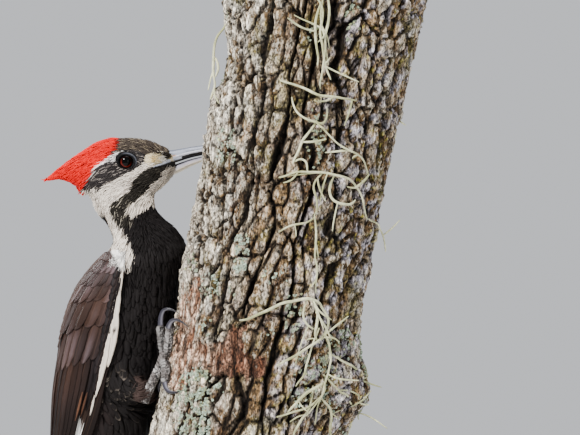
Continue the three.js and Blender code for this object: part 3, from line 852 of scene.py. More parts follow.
LIES = tuple(
    Lie(*row)
    for row in (
        # the face and the crown
        (-62, 413, -1, 0.15, 3, 0.8, 0.75, 0.8),
        (-62, 401, -1, -0.25, 3.2, 0.8, 0.75, 0.5),
        (-60, 397, -0.95, -0.3, 3.6, 0.8, 0.8, 0.6),
        (-70, 418, -1, 0.5, 4.2, 0.9, 0.8, 1.5),
        (-78, 421.5, -1, 0.12, 4.6, 0.9, 0.85, 1.2),
        (-88, 423, -1, -0.05, 6, 1, 0.9, 1),
        (-96, 421, -1, -0.2, 9, 1.1, 0.95, 1.3),
        (-70, 411, -1, 0.02, 3.2, 0.75, 0.72, 0.5),
        (-78, 411, -1, 0.12, 3.4, 0.75, 0.72, 0.5),
        (-82, 401, -1, -0.35, 4, 0.8, 0.75, 0.6),
        (-90, 398, -1, -0.32, 4.5, 0.85, 0.78, 0.7),
        (-97, 404, -1, -0.28, 5, 0.9, 0.8, 0.8),
        (-98, 410, -1, -0.3, 5, 0.9, 0.8, 0.8),
        (-89, 416, -1, 0.02, 4.5, 0.85, 0.8, 0.8),
        (-74, 403, -1, -0.42, 4.2, 0.8, 0.78, 0.6),
        (-84, 396, -0.95, -0.5, 5.2, 0.9, 0.82, 0.8),
        (-95, 391, -0.85, -0.6, 6.5, 1, 0.9, 0.9),
        (-105, 397, -0.95, -0.45, 6, 1, 0.88, 0.9),
        (-107, 388, -0.5, -0.9, 6.5, 1.1, 0.95, 1.1),
        (-115, 387, 0.1, -1, 4, 1.1, 0.95, 1.4),
        (-118, 387.5, 0.25, -1, 2.2, 1, 0.95, 0.6),
        (-70, 397, -0.95, -0.45, 4.2, 0.85, 0.8, 0.7),
        (-80, 390, -0.88, -0.6, 5.5, 0.95, 0.88, 0.8),
        (-90, 381, -0.65, -0.8, 6.5, 1.1, 0.95, 0.9),
        (-66, 394, -0.95, -0.4, 4.5, 0.85, 0.82, 0.8),
        (-72, 386, -0.85, -0.6, 5.5, 1, 0.9, 0.9),
        (-78, 378, -0.4, -1, 6.5, 1.1, 1, 1),
        # the crest
        (-104, 418, -1, -0.36, 11, 1.2, 1, 1.5),
        (-104, 409, -1, -0.38, 10, 1.2, 1, 1.4),
        (-114, 411, -1, -0.52, 13, 1.3, 1.05, 1.6),
        (-112, 402, -1, -0.6, 12, 1.3, 1.05, 1.6),
        (-124, 405, -1, -0.5, 10, 1.3, 1.05, 1.2),
        (-130, 401, -1, -0.36, 6.5, 1.2, 1, 0.8),
        (-136, 398.5, -1, -0.16, 3.2, 1, 0.9, 0.4),
        (-117.5, 391, -0.75, -0.6, 7, 1.2, 1, 1),
        (-122, 395, -0.95, -0.3, 9, 1.2, 1, 0.9),
        (-129, 396.5, -1, -0.1, 6.5, 1.1, 0.95, 0.5),
        # the neck and the shoulders
        (-72, 372, 0.15, -1, 7, 1.3, 1.05, 1.1),
        (-86, 370, 0, -1, 7.5, 1.2, 1, 1.1),
        (-98, 374, -0.12, -1, 8, 1.2, 1, 1.1),
        (-112, 380, 0.02, -1, 7.5, 1.2, 1, 2.4),
        (-104, 368, 0.24, -1, 8, 1.2, 1.05, 1.5),
        (-98, 358, 0.22, -1, 9, 1.4, 1.1, 1.3),
        (-84, 358, 0.12, -1, 9, 1.5, 1.15, 1.3),
        (-66, 362, 0.5, -1, 9, 1.6, 1.2, 1.3),
        (-60, 352, 0.35, -1, 10, 2.2, 1.5, 1.5),
        (-94, 347, 0.05, -1, 10, 1.6, 1.15, 1.6),
        (-86, 343, 0.08, -1, 11, 1.6, 1.15, 1.7),
        (-110, 340, -0.5, -1, 12, 4, 2.2, 1.6),
        # the breast, the belly and the thigh
        (-75, 345, 0.15, -1, 12, 2.6, 1.7, 1.8),
        (-56, 335, 0.1, -1, 13, 3.4, 2, 1.9),
        (-75, 325, 0, -1, 14, 4, 2.3, 2),
        (-60, 310, -0.1, -1, 15, 4.5, 2.4, 2),
        (-85, 300, -0.05, -1, 16, 5, 2.6, 2),
        (-68, 285, -0.1, -1, 16, 5, 2.6, 2),
        (-95, 280, -0.05, -1, 17, 5.2, 2.7, 2),
        (-84, 264, 0.9, -0.1, 9, 1.6, 1.2, 1.6),
        (-91, 270, 0.6, -0.7, 12, 3, 2, 1.8),
        (-86, 256, 1, -0.05, 9, 1.6, 1.2, 1.6),
        (-79, 256, 1, 0.35, 7.5, 1.3, 1, 1.5),
        (-78, 264, 1, 0.25, 7.5, 1.3, 1, 1.5),
        (-74, 240, -0.15, -1, 16, 5, 2.7, 2),
        (-98, 240, -0.05, -1, 17, 5.2, 2.8, 2),
        (-93, 210, -0.4, -1, 18, 5.2, 2.8, 1.8),
        (-112, 180, -0.2, -1, 18, 4.6, 2.6, 1.4),
        # the back
        (-120, 310, -0.25, -1, 16, 6, 3, 1.8),
        (-128, 270, -0.05, -1, 17, 6, 3, 1.8),
        (-130, 235, 0, -1, 18, 6, 3, 1.8),
        (-128, 200, 0.1, -1, 18, 5.5, 2.9, 1.6),
        (-121, 168, 0.1, -1, 15, 4.5, 2.5, 1),
    )
)


def lie_at(points: Array) -> tuple[Array, Array]:
    """Finds how the coat grows at places on the bird.

    Args:
        points: The places.

    Returns:
        The directions of growth, not yet laid along the surface, and rows of length, width, spacing, depth.
    """
    side, _ = STANCE.right_side(points)
    known = np.array([(k.x, k.z) for k in LIES])
    values = np.array([(k.forward, k.up, k.length, k.width, k.spacing, k.depth) for k in LIES])
    gap = ((side[:, None, :] - known[None]) ** 2).sum(axis=-1)
    weight = 1 / (gap + 9) ** 2.5
    means = (weight @ values) / weight.sum(axis=1, keepdims=True)
    way = means[:, :1] * STANCE.level_forward(points[:, 2]) + means[:, 1:2] * UP
    return way, means[:, 2:]


class Surface:
    """A triangle mesh that things are scattered over and laid along."""

    FAR = 50.0  # taken as the thickness where nothing is behind a point
    THROWS = 3.2  # points thrown for each one wanted
    CLOSEST = 0.72  # how near one may be to another, squared, as a share of the spacing squared

    def __init__(self, points: Array, triangles: Array) -> None:
        """Prepares the mesh.

        Args:
            points: Its points.
            triangles: Its triangles.
        """
        self.points = points
        self.triangles = triangles
        self.normals = corner_normals(points, triangles)
        self.face_normals = unit(self.normals[triangles].mean(axis=1))
        self.tree = BVHTree.FromPolygons(points.tolist(), triangles.tolist())

    def nearest(self, targets: Array) -> tuple[Array, Array, Array]:
        """Finds the nearest places on the surface.

        Args:
            targets: Points in space.

        Returns:
            The places, their normals and their distances.
        """
        places, normals, gaps = np.empty_like(targets), np.empty_like(targets), np.empty(len(targets))
        for k, target in enumerate(targets):
            spot, _, face, gap = self.tree.find_nearest(Vector(target))
            places[k], normals[k], gaps[k] = spot, self.face_normals[face], gap
        return places, normals, gaps

    def thickness(self) -> Array:
        """Measures how thick the form is behind each of its points.

        Returns:
            Distances straight in to the far side.
        """
        found = np.full(len(self.points), self.FAR)
        for k, (point, normal) in enumerate(zip(self.points, self.normals)):
            hit = self.tree.ray_cast(Vector(point - 0.05 * normal), Vector(-normal))
            if hit[0] is not None:
                found[k] = hit[3]
        return found

    def scatter(self, spacing: Array, random: np.random.Generator) -> tuple[Array, Array]:
        """Throws points over the surface, none too near another.

        Args:
            spacing: The least distance between them, at each point of the mesh.
            random: The source of chance.

        Returns:
            The points and their normals.
        """
        a, b, c = (self.points[self.triangles[:, k]] for k in range(3))
        area = np.linalg.norm(np.cross(b - a, c - a), axis=1) / 2
        apart = spacing[self.triangles].mean(axis=1)
        wanted = area / apart**2
        count = int(self.THROWS * wanted.sum())
        face = random.choice(len(area), count, p=wanted / wanted.sum())
        u, v = random.random((2, count, 1))
        u, v = np.where(u + v > 1, 1 - u, u), np.where(u + v > 1, 1 - v, v)
        thrown = a[face] + u * (b - a)[face] + v * (c - a)[face]
        cells = defaultdict(list)
        kept = []
        width = float(apart.max())
        keys = np.floor(thrown / width).astype(int)
        ring = [np.array(step) - 1 for step in np.ndindex(3, 3, 3)]
        limits = (apart[face] ** 2) * self.CLOSEST
        for k in range(count):
            near = [n for step in ring for n in cells[tuple(keys[k] + step)]]
            if near and ((thrown[near] - thrown[k]) ** 2).sum(axis=1).min() < limits[k]:
                continue
            cells[tuple(keys[k])].append(k)
            kept.append(k)
        kept = np.array(kept)
        return thrown[kept], self.face_normals[face[kept]]


@dataclass(frozen=True)
class Vane:
    """The shape of a feather: rings of corners along it, in shares of its length, width and thickness."""

    stations: tuple[float, ...]
    widths: tuple[float, ...]
    ring: tuple[tuple[float, float], ...]  # across, from 1 at its left to -1, and up, anticlockwise
    thickness: float
    cup: float = 0.12  # how far the edges bend down, as a share of the half-width

    def grown(self, spots: Array, ways: Array, normals: Array, widths: Array, values: dict) -> Form:
        """Builds many feathers at once.

        Args:
            spots: The middle of each feather at each station, as feathers by stations by three.
            ways: The direction along the feather there.
            normals: The direction off the surface there.
            widths: The feathers' half-widths.
            values: Values of the feathers: one row each, or one for each station or corner.

        Returns:
            All the feathers as one form, with their values and the vane value: across, along and chance.
        """
        count, steps = spots.shape[:2]
        sides = len(self.ring)
        across, up = np.array(self.ring).T
        aside = unit(np.cross(normals, ways))
        half = widths[:, None] * np.array(self.widths)
        thick = np.minimum(self.thickness, 0.45 * widths)[:, None] * np.sqrt(np.array(self.widths))
        rise = thick[..., None] * up - self.cup * half[..., None] * across**2
        rings = (
            spots[:, :, None]
            + aside[:, :, None] * (half[..., None] * across)[..., None]
            + normals[:, :, None] * rise[..., None]
        )
        first = spots[:, :1] - 0.3 * (spots[:, 1:2] - spots[:, :1])
        last = spots[:, -1:] + ways[:, -1:] * (half[:, -1:, None] * 0.9)
        points = np.concatenate([rings.reshape(count, -1, 3), first, last], axis=1)
        size = steps * sides + 2
        faces = repeated(sleeve(steps, sides), count, size)
        chance = lattice(np.floor(spots[:, 0] * 1000), 7)
        vane = np.zeros((count, size, 3))
        vane[:, :-2, 0] = np.tile(across, steps)
        vane[:, :-2, 1] = np.repeat(np.array(self.stations), sides)
        vane[:, -1, 1] = 1
        vane[..., 2] = chance[:, None]
        kept = {"vane": vane.reshape(-1, 3)}
        for key, value in values.items():
            if value.ndim == 2:
                value = np.repeat(value[:, None], steps, axis=1)
            if value.ndim == 3:
                value = np.repeat(value[:, :, None], sides, axis=2)
            rows = [value.reshape(count, steps * sides, -1), value[:, 0, :1], value[:, -1, :1]]
            kept[key] = np.concatenate(rows, axis=1).reshape(-1, value.shape[-1])
        if "OFBake" in kept:
            patch = np.stack([vane[..., 0] / 2, vane[..., 1] - 0.5], axis=-1) * 0.003
            kept["OFBake"] = kept["OFBake"] + patch.reshape(-1, 2)
        return Form(points.reshape(-1, 3), faces, kept)


HAIR = Vane((0.0, 0.45, 1.0), (0.55, 1.0, 0.25), ((1, 0), (0, 1), (-1, 0)), 0.3)
PLUME = Vane((0.0, 0.3, 0.65, 1.0), (0.5, 1.0, 0.8, 0.16), ((1, 0), (0, 1), (-1, 0)), 0.35)
CONTOUR = Vane(
    (0.0, 0.25, 0.5, 0.74, 0.93, 1.0),
    (0.35, 0.85, 1.0, 0.96, 0.8, 0.5),
    ((1, 0), (0.5, 0.75), (0, 1), (-0.5, 0.75), (-1, 0), (0, -0.35)),
    0.34,
)


def drape(skin: Surface, roots: Array, ways: Array, steps: Array, rises: Array) -> tuple[Array, Array, Array]:
    """Lays lines along a surface; where it ends, they go straight on.

    Args:
        skin: The surface.
        roots: Where each line starts.
        ways: The direction that each starts in.
        steps: The distances from station to station, as lines by stations; the first is zero.
        rises: How far each station stands off the surface.

    Returns:
        The stations' places, the directions along the lines, and the directions off the surface.
    """
    spots, ahead, off = [], [], []
    place_now, normal, way = roots.copy(), None, ways
    for k in range(steps.shape[1]):
        target = place_now + way * steps[:, k : k + 1]
        found, found_normal, gap = skin.nearest(target)
        if normal is None:
            normal = found_normal
        free = (gap > 0.3 * steps[:, k] + 0.4)[:, None]
        place_now = np.where(free, target, found)
        normal = np.where(free, normal, unit(0.4 * normal + 0.6 * found_normal))
        way = unit(way - normal * dot(way, normal))
        spots.append(place_now + normal * rises[:, k : k + 1])
        ahead.append(way)
        off.append(normal)
    return np.stack(spots, axis=1), np.stack(ahead, axis=1), np.stack(off, axis=1)


class Coat:
    """The bird's skin and the feathers that cover it."""

    FLESH = ("head", "crest", "neck", "torso", "thigh_right", "thigh_left")
    HEAD_MIDDLE = np.array([-92.0, 40.5, 402.0])
    CREST_START = -113.0
    SHORT, NARROW = 7.2, 2  # the length under which a feather is a face's, and the width of a body's
    # The eye's middle in the side view, how much longer than tall it is, and how far its bare ring reaches.
    EYE_X, EYE_Z, LONG, LID = -89.2, 407.6, 1.1, 5.35
    # Where the feathers stand fluffed out beyond the flesh: x, z, reach and how far.
    FLUFFED = (
        (-114, 383, 8.5, 2.6), (-66, 417, 6, 1.0), (-98, 396, 9, 0.8), (-84, 259, 8, 1.0),
        (-58, 308, 15, 2.0),
    )

    def __init__(self, voxel: float = 1.5, seed: int = 11) -> None:
        """Fuses the flesh into one skin and sinks it by the coat's depth.

        Args:
            voxel: The width of the skin's cells.
            seed: Seeds the chance in the coat.
        """
        self.random = np.random.default_rng(seed)
        self.plumage = Plumage()
        points, triangles = fused(list(self.FLESH), voxel, 0.45, 4)
        outer = Surface(points, triangles)
        side, _ = STANCE.right_side(points)
        for x, z, reach, far in self.FLUFFED:
            gap = ((side[:, 0] - x) ** 2 + (side[:, 1] - z) ** 2) / reach**2
            points = points + outer.normals * (far * np.exp(-gap))[:, None]
        _, growth = lie_at(points)
        depth = np.minimum(growth[:, 3] + 0.3, 0.3 * outer.thickness())
        sunk = points - outer.normals * depth[:, None]
        self.skin = Surface(sunk, triangles)

    def unwrapped(self, points: Array) -> Array:
        """Spreads the skin's own shape flat: body, head and crest round their own middles.

        Args:
            points: Places on the skin.

        Returns:
            A pair of numbers from 0 to 1 for each.
        """
        centre, left, back, _ = STANCE.ring(np.array(BODY_ROWS, float), np.linspace(0, 1, 80))
        at = [np.interp(-points[:, 2], -centre[:, 2], centre[:, n]) for n in range(3)]
        lefts = np.stack([np.interp(-points[:, 2], -centre[:, 2], left[:, n]) for n in range(3)], axis=1)
        backs = np.stack([np.interp(-points[:, 2], -centre[:, 2], back[:, n]) for n in range(3)], axis=1)
        arm = points - np.stack(at, axis=1)
        turn = np.arctan2(dot(arm, lefts), dot(arm, unit(backs)))[:, 0]
        body = np.stack([0.5 + turn / 6.5, np.interp(points[:, 2], (155, 400), (0.02, 0.58))], axis=1)
        arm = points - self.HEAD_MIDDLE
        turn = np.arctan2(arm @ STANCE.head_left, arm[:, 2])
        head = np.stack([0.5 + turn / 6.5, np.interp(points[:, 0], (-122, -55), (0.62, 0.84))], axis=1)
        turn = np.arctan2(arm @ STANCE.head_left, arm[:, 2] - 0.27 * (points[:, 0] + 92))
        crest = np.stack([0.5 + turn / 6.5, np.interp(points[:, 0], (-142, -112), (0.87, 0.98))], axis=1)
        of_head = (points[:, 2] + 0.35 * (points[:, 0] + 92) > 384)[:, None]
        of_crest = (points[:, :1] < self.CREST_START) & (points[:, 2:] > 384)
        return np.where(of_crest, crest, np.where(of_head, head, body))

    def make_skin(self, finish: bpy.types.Material) -> bpy.types.Object:
        """Makes the skin itself.

        Args:
            finish: Its material.

        Returns:
            The skin piece.
        """
        # The skin takes a darker copy of the feathers' colours: painted shade for the gaps between them.
        colour = self.plumage.skin(self.skin.points) * 0.62
        form = Form(
            self.skin.points,
            [self.skin.triangles],
            {"marking": colour, "OFBake": self.unwrapped(self.skin.points)},
        )
        return place(form.piece("skin", finish), "plumage_black", *self.FLESH)

    def from_eye(self, side: Array) -> Array:
        """Measures how far side-view points are from the eye's middle, in the eye's own proportions."""
        return np.hypot((side[:, 0] - self.EYE_X) / self.LONG, side[:, 1] - self.EYE_Z)

    def bare(self, roots: Array) -> Array:
        """Tells where no feather grows: round the eyes, under the bill and under the folded wings.

        Args:
            roots: Places on the skin.

        Returns:
            True where the skin stays bare.
        """
        side, _ = STANCE.right_side(roots)
        eye = self.from_eye(side) < self.LID
        bill = side[:, 0] > np.interp(side[:, 1], (398, 404, 410, 416), (-60.5, -63, -63, -59))
        gape = inside(Bill.GAPE, side) > 0
        return eye | gape | (bill & (side[:, 1] > 392)) | Wing.where(roots)

    def make_feathers(self, finish: bpy.types.Material) -> list[bpy.types.Object]:
        """Grows the coat.

        Args:
            finish: The feathers' material.

        Returns:
            The coat's pieces.
        """
        _, growth = lie_at(self.skin.points)
        roots, normals = self.skin.scatter(growth[:, 2], self.random)
        keep = ~self.bare(roots)
        roots, normals = roots[keep], normals[keep]
        ways, growth = lie_at(roots)
        length, half = growth[:, 0], growth[:, 1] / 2
        ways = unit(ways - normals * dot(ways, normals))
        swing = 0.16 * self.random.standard_normal(len(roots)) + 0.2 * drift(roots, 5, 23)
        ways = unit(ways + np.cross(normals, ways) * swing[:, None])
        side, _ = STANCE.right_side(roots)
        near_eye = 0.4 + 0.6 * fade(self.from_eye(side), 5.5, 11)
        length = length * (0.82 + 0.36 * self.random.random(len(roots))) * near_eye
        half = half * (0.85 + 0.3 * self.random.random(len(roots)))
        depth = growth[:, 3] * (0.75 + 0.5 * self.random.random(len(roots)))
        # What shows of a feather lies beyond its root, so that is where it takes its colour from.
        low = fade(-roots[:, 0], 112, 115) * (1 - fade(roots[:, 2], 389, 393))
        reach = 0.5 + 0.3 * fade(-roots[:, 0], 103, 109) * fade(roots[:, 2], 388, 393)
        seen = roots + ways * (reach * (1 - low) * length)[:, None]
        colour, tip = self.plumage.of(seen)
        spread = self.unwrapped(roots)
        pieces = []
        short, narrow = growth[:, 0] < self.SHORT, growth[:, 1] < self.NARROW
        kinds = (
            ("face_feathers", HAIR, short),
            ("neck_feathers", PLUME, ~short & narrow),
            ("body_feathers", CONTOUR, ~narrow),
        )
        for name, vane, chosen in kinds:
            share = np.array(vane.stations)
            steps = length[chosen, None] * np.diff(share, prepend=0)
            rises = -0.15 + depth[chosen, None] * share**0.75
            spots, ahead, off = drape(self.skin, roots[chosen], ways[chosen], steps, rises)
            edge = np.abs([u for u, _ in vane.ring])[None] > 0.9
            blend = np.where(edge, fade(share, 0.55, 0.95)[:, None], 0.7 * (share > 0.99)[:, None])
            blend = blend[None, ..., None]
            shades = colour[chosen, None, None] * (1 - blend) + tip[chosen, None, None] * blend
            form = vane.grown(
                spots, ahead, off, half[chosen], {"marking": shades, "OFBake": spread[chosen]}
            )
            pieces.append(place(form.piece(name, finish), "plumage_black"))
        return pieces + [self.make_tufts(finish)]

    def make_tufts(self, finish: bpy.types.Material) -> bpy.types.Object:
        """Grows the tufts that lie across the coat, over the nostrils and on the chin, shoulder and thigh.

        Args:
            finish: The feathers' material.

        Returns:
            The piece.
        """
        random, forms = self.random, []
        for tuft in TUFTS:
            for side in Side:
                x0, z0, x1, z1 = tuft.corners
                x, z = random.uniform(x0, x1, tuft.count), random.uniform(z0, z1, tuft.count)
                on_head = z[:, None] > 388
                middle = np.where(on_head, STANCE.on_head(x, z), STANCE.on_body(x, z))
                out = np.where(on_head, STANCE.head_left, STANCE.left) * side.value
                roots, normals, _ = self.skin.nearest(middle + out * tuft.reach)
                ways = tuft.forward * STANCE.level_forward(z) + tuft.up * UP + 0 * roots
                ways = ways + tuft.stray * random.standard_normal(roots.shape)
                ways = unit(ways - normals * dot(ways, normals) * 0.8)
                length = tuft.length * random.uniform(0.65, 1.1, tuft.count)
                share = np.array(HAIR.stations)
                rises = tuft.rise * (0.3 + 0.7 * share[None]) * random.uniform(0.7, 1.3, (tuft.count, 1))
                steps = length[:, None] * np.diff(share, prepend=0)
                spots, ahead, off = drape(self.skin, roots, ways, steps, rises)
                half = tuft.width / 2 * random.uniform(0.75, 1.25, tuft.count)
                colour = np.clip(tuft.colour * random.uniform(0.7, 1.15, (tuft.count, 1)), 0, 1)
                values = {"marking": colour, "OFBake": self.unwrapped(roots)}
                forms.append(HAIR.grown(spots, ahead, off, half, values))
        return place(Form.joined(forms).piece("bristles_and_tufts", finish), "plumage_black")


@dataclass(frozen=True)
class Tuft:
    """A patch of stiff or loose hairs that lie over the rest of the coat."""

    corners: tuple[float, float, float, float]
    forward: float
    up: float
    length: float
    count: int
    colour: Array
    rise: float = 0.9
    width: float = 0.6
    stray: float = 0.1
    reach: float = 14


TUFTS = (
    Tuft((-79, 406.5, -71.5, 411.5), 1, 0.24, 7.5, 420, BUFF, 0.8, 0.55),
    Tuft((-77.5, 406.5, -74, 410.5), 1, 0.24, 5, 90, tone(220, 190, 128), 0.9, 0.5),
    Tuft((-72, 407.5, -67.5, 411.5), 1, 0.2, 5.5, 150, WHITE * 0.85, 0.9, 0.4),
    Tuft((-73, 413.6, -64.5, 417.5), 1, -0.16, 6.5, 420, FOREHEAD * 0.6, 0.8, 0.6, 0.14),
    Tuft((-67, 396.5, -61.5, 399.5), 1, 0.3, 8, 130, CHIN * 0.7, 0.9, 0.22, 0.16),
    Tuft((-88, 343, -82, 350), -0.05, -1, 8.5, 700, WHITE, 5.0, 0.7, 0.16, 30),
    Tuft((-91, 339, -84, 349), 0.1, -1, 8, 500, WHITE, 1.6, 0.7, 0.22, 30),
    Tuft((-75, 250, -70.5, 267), 1, 0.3, 8.5, 420, tone(74, 60, 56), 3.6, 0.7, 0.2, 26),
)


# ---------------------------------------------------------------- the wings


class Wing:
    """A folded wing: a bed over the body with rows of feathers on it."""

    ROWS = tuple(
        (*row, 0)
        for row in (
            (-102, 346, -50.5, 353, 25, 1.2, 42, 66),
            (-107.5, 338, -49.5, 343, 28, 3.2, 30, 84),
            (-115, 325, -54.5, 330, 30, 4.6, 18, 94),
            (-121, 309, -58, 315.5, 31, 5, 9, 96),
            (-125.5, 291, -61, 294.5, 31, 5, 5, 95),
            (-128, 271.5, -65, 273, 29.5, 5, 4, 92),
            (-129.5, 252, -69, 250.5, 27, 5, 4, 88),
            (-130.5, 232.5, -75.5, 228, 23.5, 4.8, 4, 83),
            (-131, 213, -90, 208, 20, 4.4, 4, 79),
            (-130.5, 193.5, -103, 189.5, 16, 3.8, 4, 76),
            (-129, 174, -108, 171.5, 13.5, 3.2, 5, 72),
            (-126.5, 154.5, -109, 152.5, 12, 2.7, 6, 66),
            (-123.5, 137, -110, 135.5, 10.5, 2.1, 10, 58),
            (-120, 121, -111, 119.5, 9.5, 1.2, 20, 44),
        )
    )
    LIFT = 1.4
    EDGE = 0.3
    RIM = 9  # how many degrees under the wing's edge the coat still grows
    LOW, HIGH = 150, 347  # the heights between which it hides the coat

    def __init__(self, side: Side, seed: int) -> None:
        """Prepares one wing.

        Args:
            side: Which wing.
            seed: Seeds the chance in its feathers.
        """
        self.side = side
        self.random = np.random.default_rng(seed)
        places = np.linspace(0, 1, 120)
        centre, _, _, _ = STANCE.ring(np.array(self.ROWS, float), places)
        self.heights = centre[::-1, 2]
        self.places = places[::-1]

    @classmethod
    def where(cls, points: Array) -> Array:
        """Finds which points of the body the folded wings cover.

        Args:
            points: Places on the body.

        Returns:
            True for the points well under a wing.
        """
        places = np.linspace(0, 1, 120)
        centre, _, _, _ = STANCE.ring(np.array(cls.ROWS, float), places)
        spot = np.interp(-points[:, 2], -centre[:, 2], places, left=0, right=1)
        centre, left, back, values = STANCE.ring(np.array(cls.ROWS, float), spot)
        arm = points - centre
        turn = np.degrees(np.arctan2(np.abs(dot(arm, left)), dot(arm, unit(back))))[:, 0]
        start, end = values[:, 6], values[:, 7]
        level = (points[:, 2] < cls.HIGH) & (points[:, 2] > cls.LOW)
        return level & (turn > start + cls.RIM) & (turn < end - cls.RIM)

    def at(self, heights: Array, share: Array, lift: Array, raised: Array) -> Array:
        """Finds points over the wing's bed.

        Args:
            heights: Heights of the rings.
            share: Places across the wing, from 0 at the back to 1 at its front edge.
            lift: Level in the wing's thickness, from 0 at its inner face to 1 at its outer face.
            raised: A further distance off it.

        Returns:
            The points.
        """
        spot = np.interp(heights, self.heights, self.places)
        centre, left, back, values = STANCE.ring(np.array(self.ROWS, float), spot)
        half, thick, start, end = (values[..., n] for n in (4, 5, 6, 7))
        angle = np.radians(start + (end - start) * share)
        bulge = np.sqrt(np.sin(np.pi * np.clip(share, 0, 1)))
        off = self.LIFT + thick * (self.EDGE + (1 - self.EDGE) * bulge) * lift + raised
        length = np.linalg.norm(back, axis=-1)
        aside = (np.sin(angle) * (half + off))[..., None] * left * self.side.value
        behind = (np.cos(angle) * (1 + off / length))[..., None] * back
        return centre + aside + behind

    def arc(self, heights: Array) -> Array:
        """Measures across the wing.

        Args:
            heights: Heights of the rings.

        Returns:
            Its width there, along its surface.
        """
        spot = np.interp(heights, self.heights, self.places)
        _, _, back, values = STANCE.ring(np.array(self.ROWS, float), spot)
        radius = (values[..., 4] + np.linalg.norm(back, axis=-1)) / 2 + 3
        return radius * np.radians(values[..., 7] - values[..., 6])

    def bed(self) -> Form:
        """The wing's under layer, which the feathers lie on.

        Returns:
            A thin closed shell.
        """
        heights = np.linspace(self.heights[-1] - 0.5, self.heights[0] + 0.5, 60)[:, None]
        share = np.concatenate([np.linspace(0.01, 0.99, 13), np.linspace(0.99, 0.01, 13)])[None]
        lift = np.concatenate([np.full(13, 0.5), np.zeros(13)])[None]
        shape = np.zeros((60, 26))
        rings = self.at(heights + shape, share + shape, lift + shape, shape)
        return tube(rings, rings[0].mean(axis=0), rings[-1].mean(axis=0))


@dataclass(frozen=True)
class Tract:
    """A row of like feathers on a folded wing; pairs go from its first feather to its last."""

    name: str
    count: int
    share: tuple[float, float]
    tip: tuple[float, float]
    length: tuple[float, float]
    width: tuple[float, float]
    level: tuple[float, float]  # in the wing's thickness, at the roots and at the tips
    colour: Array
    slant: float = 0.0  # how much further to the front the root lies, as a share of the wing
    point: float = 0.0  # 0 for a round tip, 1 for a pointed one
    raised: float = 0.0
    roll: float = 0.2  # how far the front edge stands over the next feather


DARK = tone(24, 19, 20)
UMBER = tone(38, 26, 23)
MANTLE = tone(62, 46, 41)
SHOULDER_PATCH = (
    (-99, 354), (-84, 352), (-83.7, 341.7), (-87.6, 337.8), (-90.2, 335), (-93.4, 339.1), (-95.6, 344.3),
    (-98.4, 347.5),
)
TRACTS = (
    Tract("primaries", 8, (0.5, 0.98), (123, 168), (138, 112), (9, 7.5), (0.3, 0.6), UMBER, 0.1, 0.6),
    Tract("primary edge", 2, (0.98, 1.0), (184, 205), (100, 96), (5, 5), (0.1, 0.4), DARK, 0.02, 0.7),
    Tract(
        "secondaries", 11, (0.04, 0.8), (176, 206), (112, 94), (8.5, 8), (0.75, 1.1),
        UMBER, 0.05, 0.4, 0, 0.7,
    ),
    Tract(
        "tertials", 4, (0.08, 0.3), (214, 206), (80, 84), (10, 9), (0.95, 1.15),
        UMBER, 0.04, 0.4, 0.1, 0.6,
    ),
    Tract(
        "copper edges", 2, (0.87, 0.92), (236, 239), (19, 16), (1.3, 1.2), (1.45, 1.5),
        COPPER * 0.75, 0.02, 0.9, 0.4,
    ),
    Tract("primary coverts", 3, (0.9, 0.98), (236, 250), (52, 44), (4.4, 4), (0.4, 0.75), DARK, 0.02, 0.6),
    Tract(
        "greater coverts", 9, (0.05, 0.9), (262, 276), (56, 46), (11.5, 10), (0.7, 1.05),
        UMBER, 0.05, 0.15, 0, 0.3,
    ),
    Tract(
        "median coverts", 7, (0.12, 0.9), (292, 298), (40, 32), (13, 11.5), (0.75, 1.1),
        UMBER, 0.05, 0.1, 0, 0.26,
    ),
    Tract(
        "upper coverts", 7, (0.2, 0.9), (317, 314), (30, 26), (12, 10.5), (0.8, 1.05),
        UMBER, 0.05, 0, 0, 0.24,
    ),
    Tract("lesser coverts", 9, (0.2, 0.92), (328, 323), (24, 20), (10, 8.5), (0.85, 1.05), UMBER, 0.05),
    Tract("shoulder coverts", 10, (0.14, 0.94), (337, 332), (19, 16), (8.5, 7.5), (0.9, 1.1), UMBER, 0.03),
    Tract("shoulder tips", 10, (0.04, 0.95), (345, 341), (15, 13), (8, 6.5), (0.95, 1.2), UMBER, 0.0),
    Tract("shoulder crown", 9, (0.1, 0.9), (350, 346), (12, 11), (7.5, 6), (0.9, 1.3), UMBER, 0.0, 0, 0.2),
    Tract("wing bend", 18, (0.95, 1.0), (345, 256), (15, 20), (6, 5.5), (0.7, 1.1), DARK, 0.02, 0.2, 0.1),
    Tract("scapulars", 14, (0.02, 0.1), (342, 262), (30, 30), (6, 6), (1.0, 1.25), MANTLE, 0.06, 0.4, 0.25),
    Tract(
        "outer scapulars", 12, (0.14, 0.3), (340, 286), (28, 26), (6, 6), (0.95, 1.2),
        MANTLE, 0.08, 0.4, 0.1,
    ),
    Tract(
        "lining top", 1, (1.05, 1.05), (318, 318), (19, 19), (1.1, 1.1), (0.9, 0.6),
        WHITE, -0.02, 0.6, 1.6,
    ),
    Tract("lining", 1, (1.0, 1.0), (306, 306), (36, 36), (2.4, 2.4), (0.2, 0.4), WHITE, 0.0, 0.8, 0.9),
    Tract(
        "lining fan", 2, (1.06, 1.03), (290, 282), (34, 36), (5.6, 6.4), (0.2, 0.3),
        WHITE, -0.03, 0.7, 0.9,
    ),
    Tract(
        "lining front", 1, (1.1, 1.1), (271.5, 271.5), (40, 40), (6.8, 6.8), (0.2, 0.3),
        WHITE, -0.06, 0.9, 0.9,
    ),
    Tract("lining tip", 1, (1.03, 1.03), (252, 252), (42, 42), (5.6, 5.6), (0.2, 0.3), WHITE, 0.0, 1.0, 1.2),
    Tract("lining end", 1, (1.0, 1.0), (240, 240), (14, 14), (1.7, 1.7), (0.2, 0.3), WHITE, 0.0, 0.9, 0.5),
)


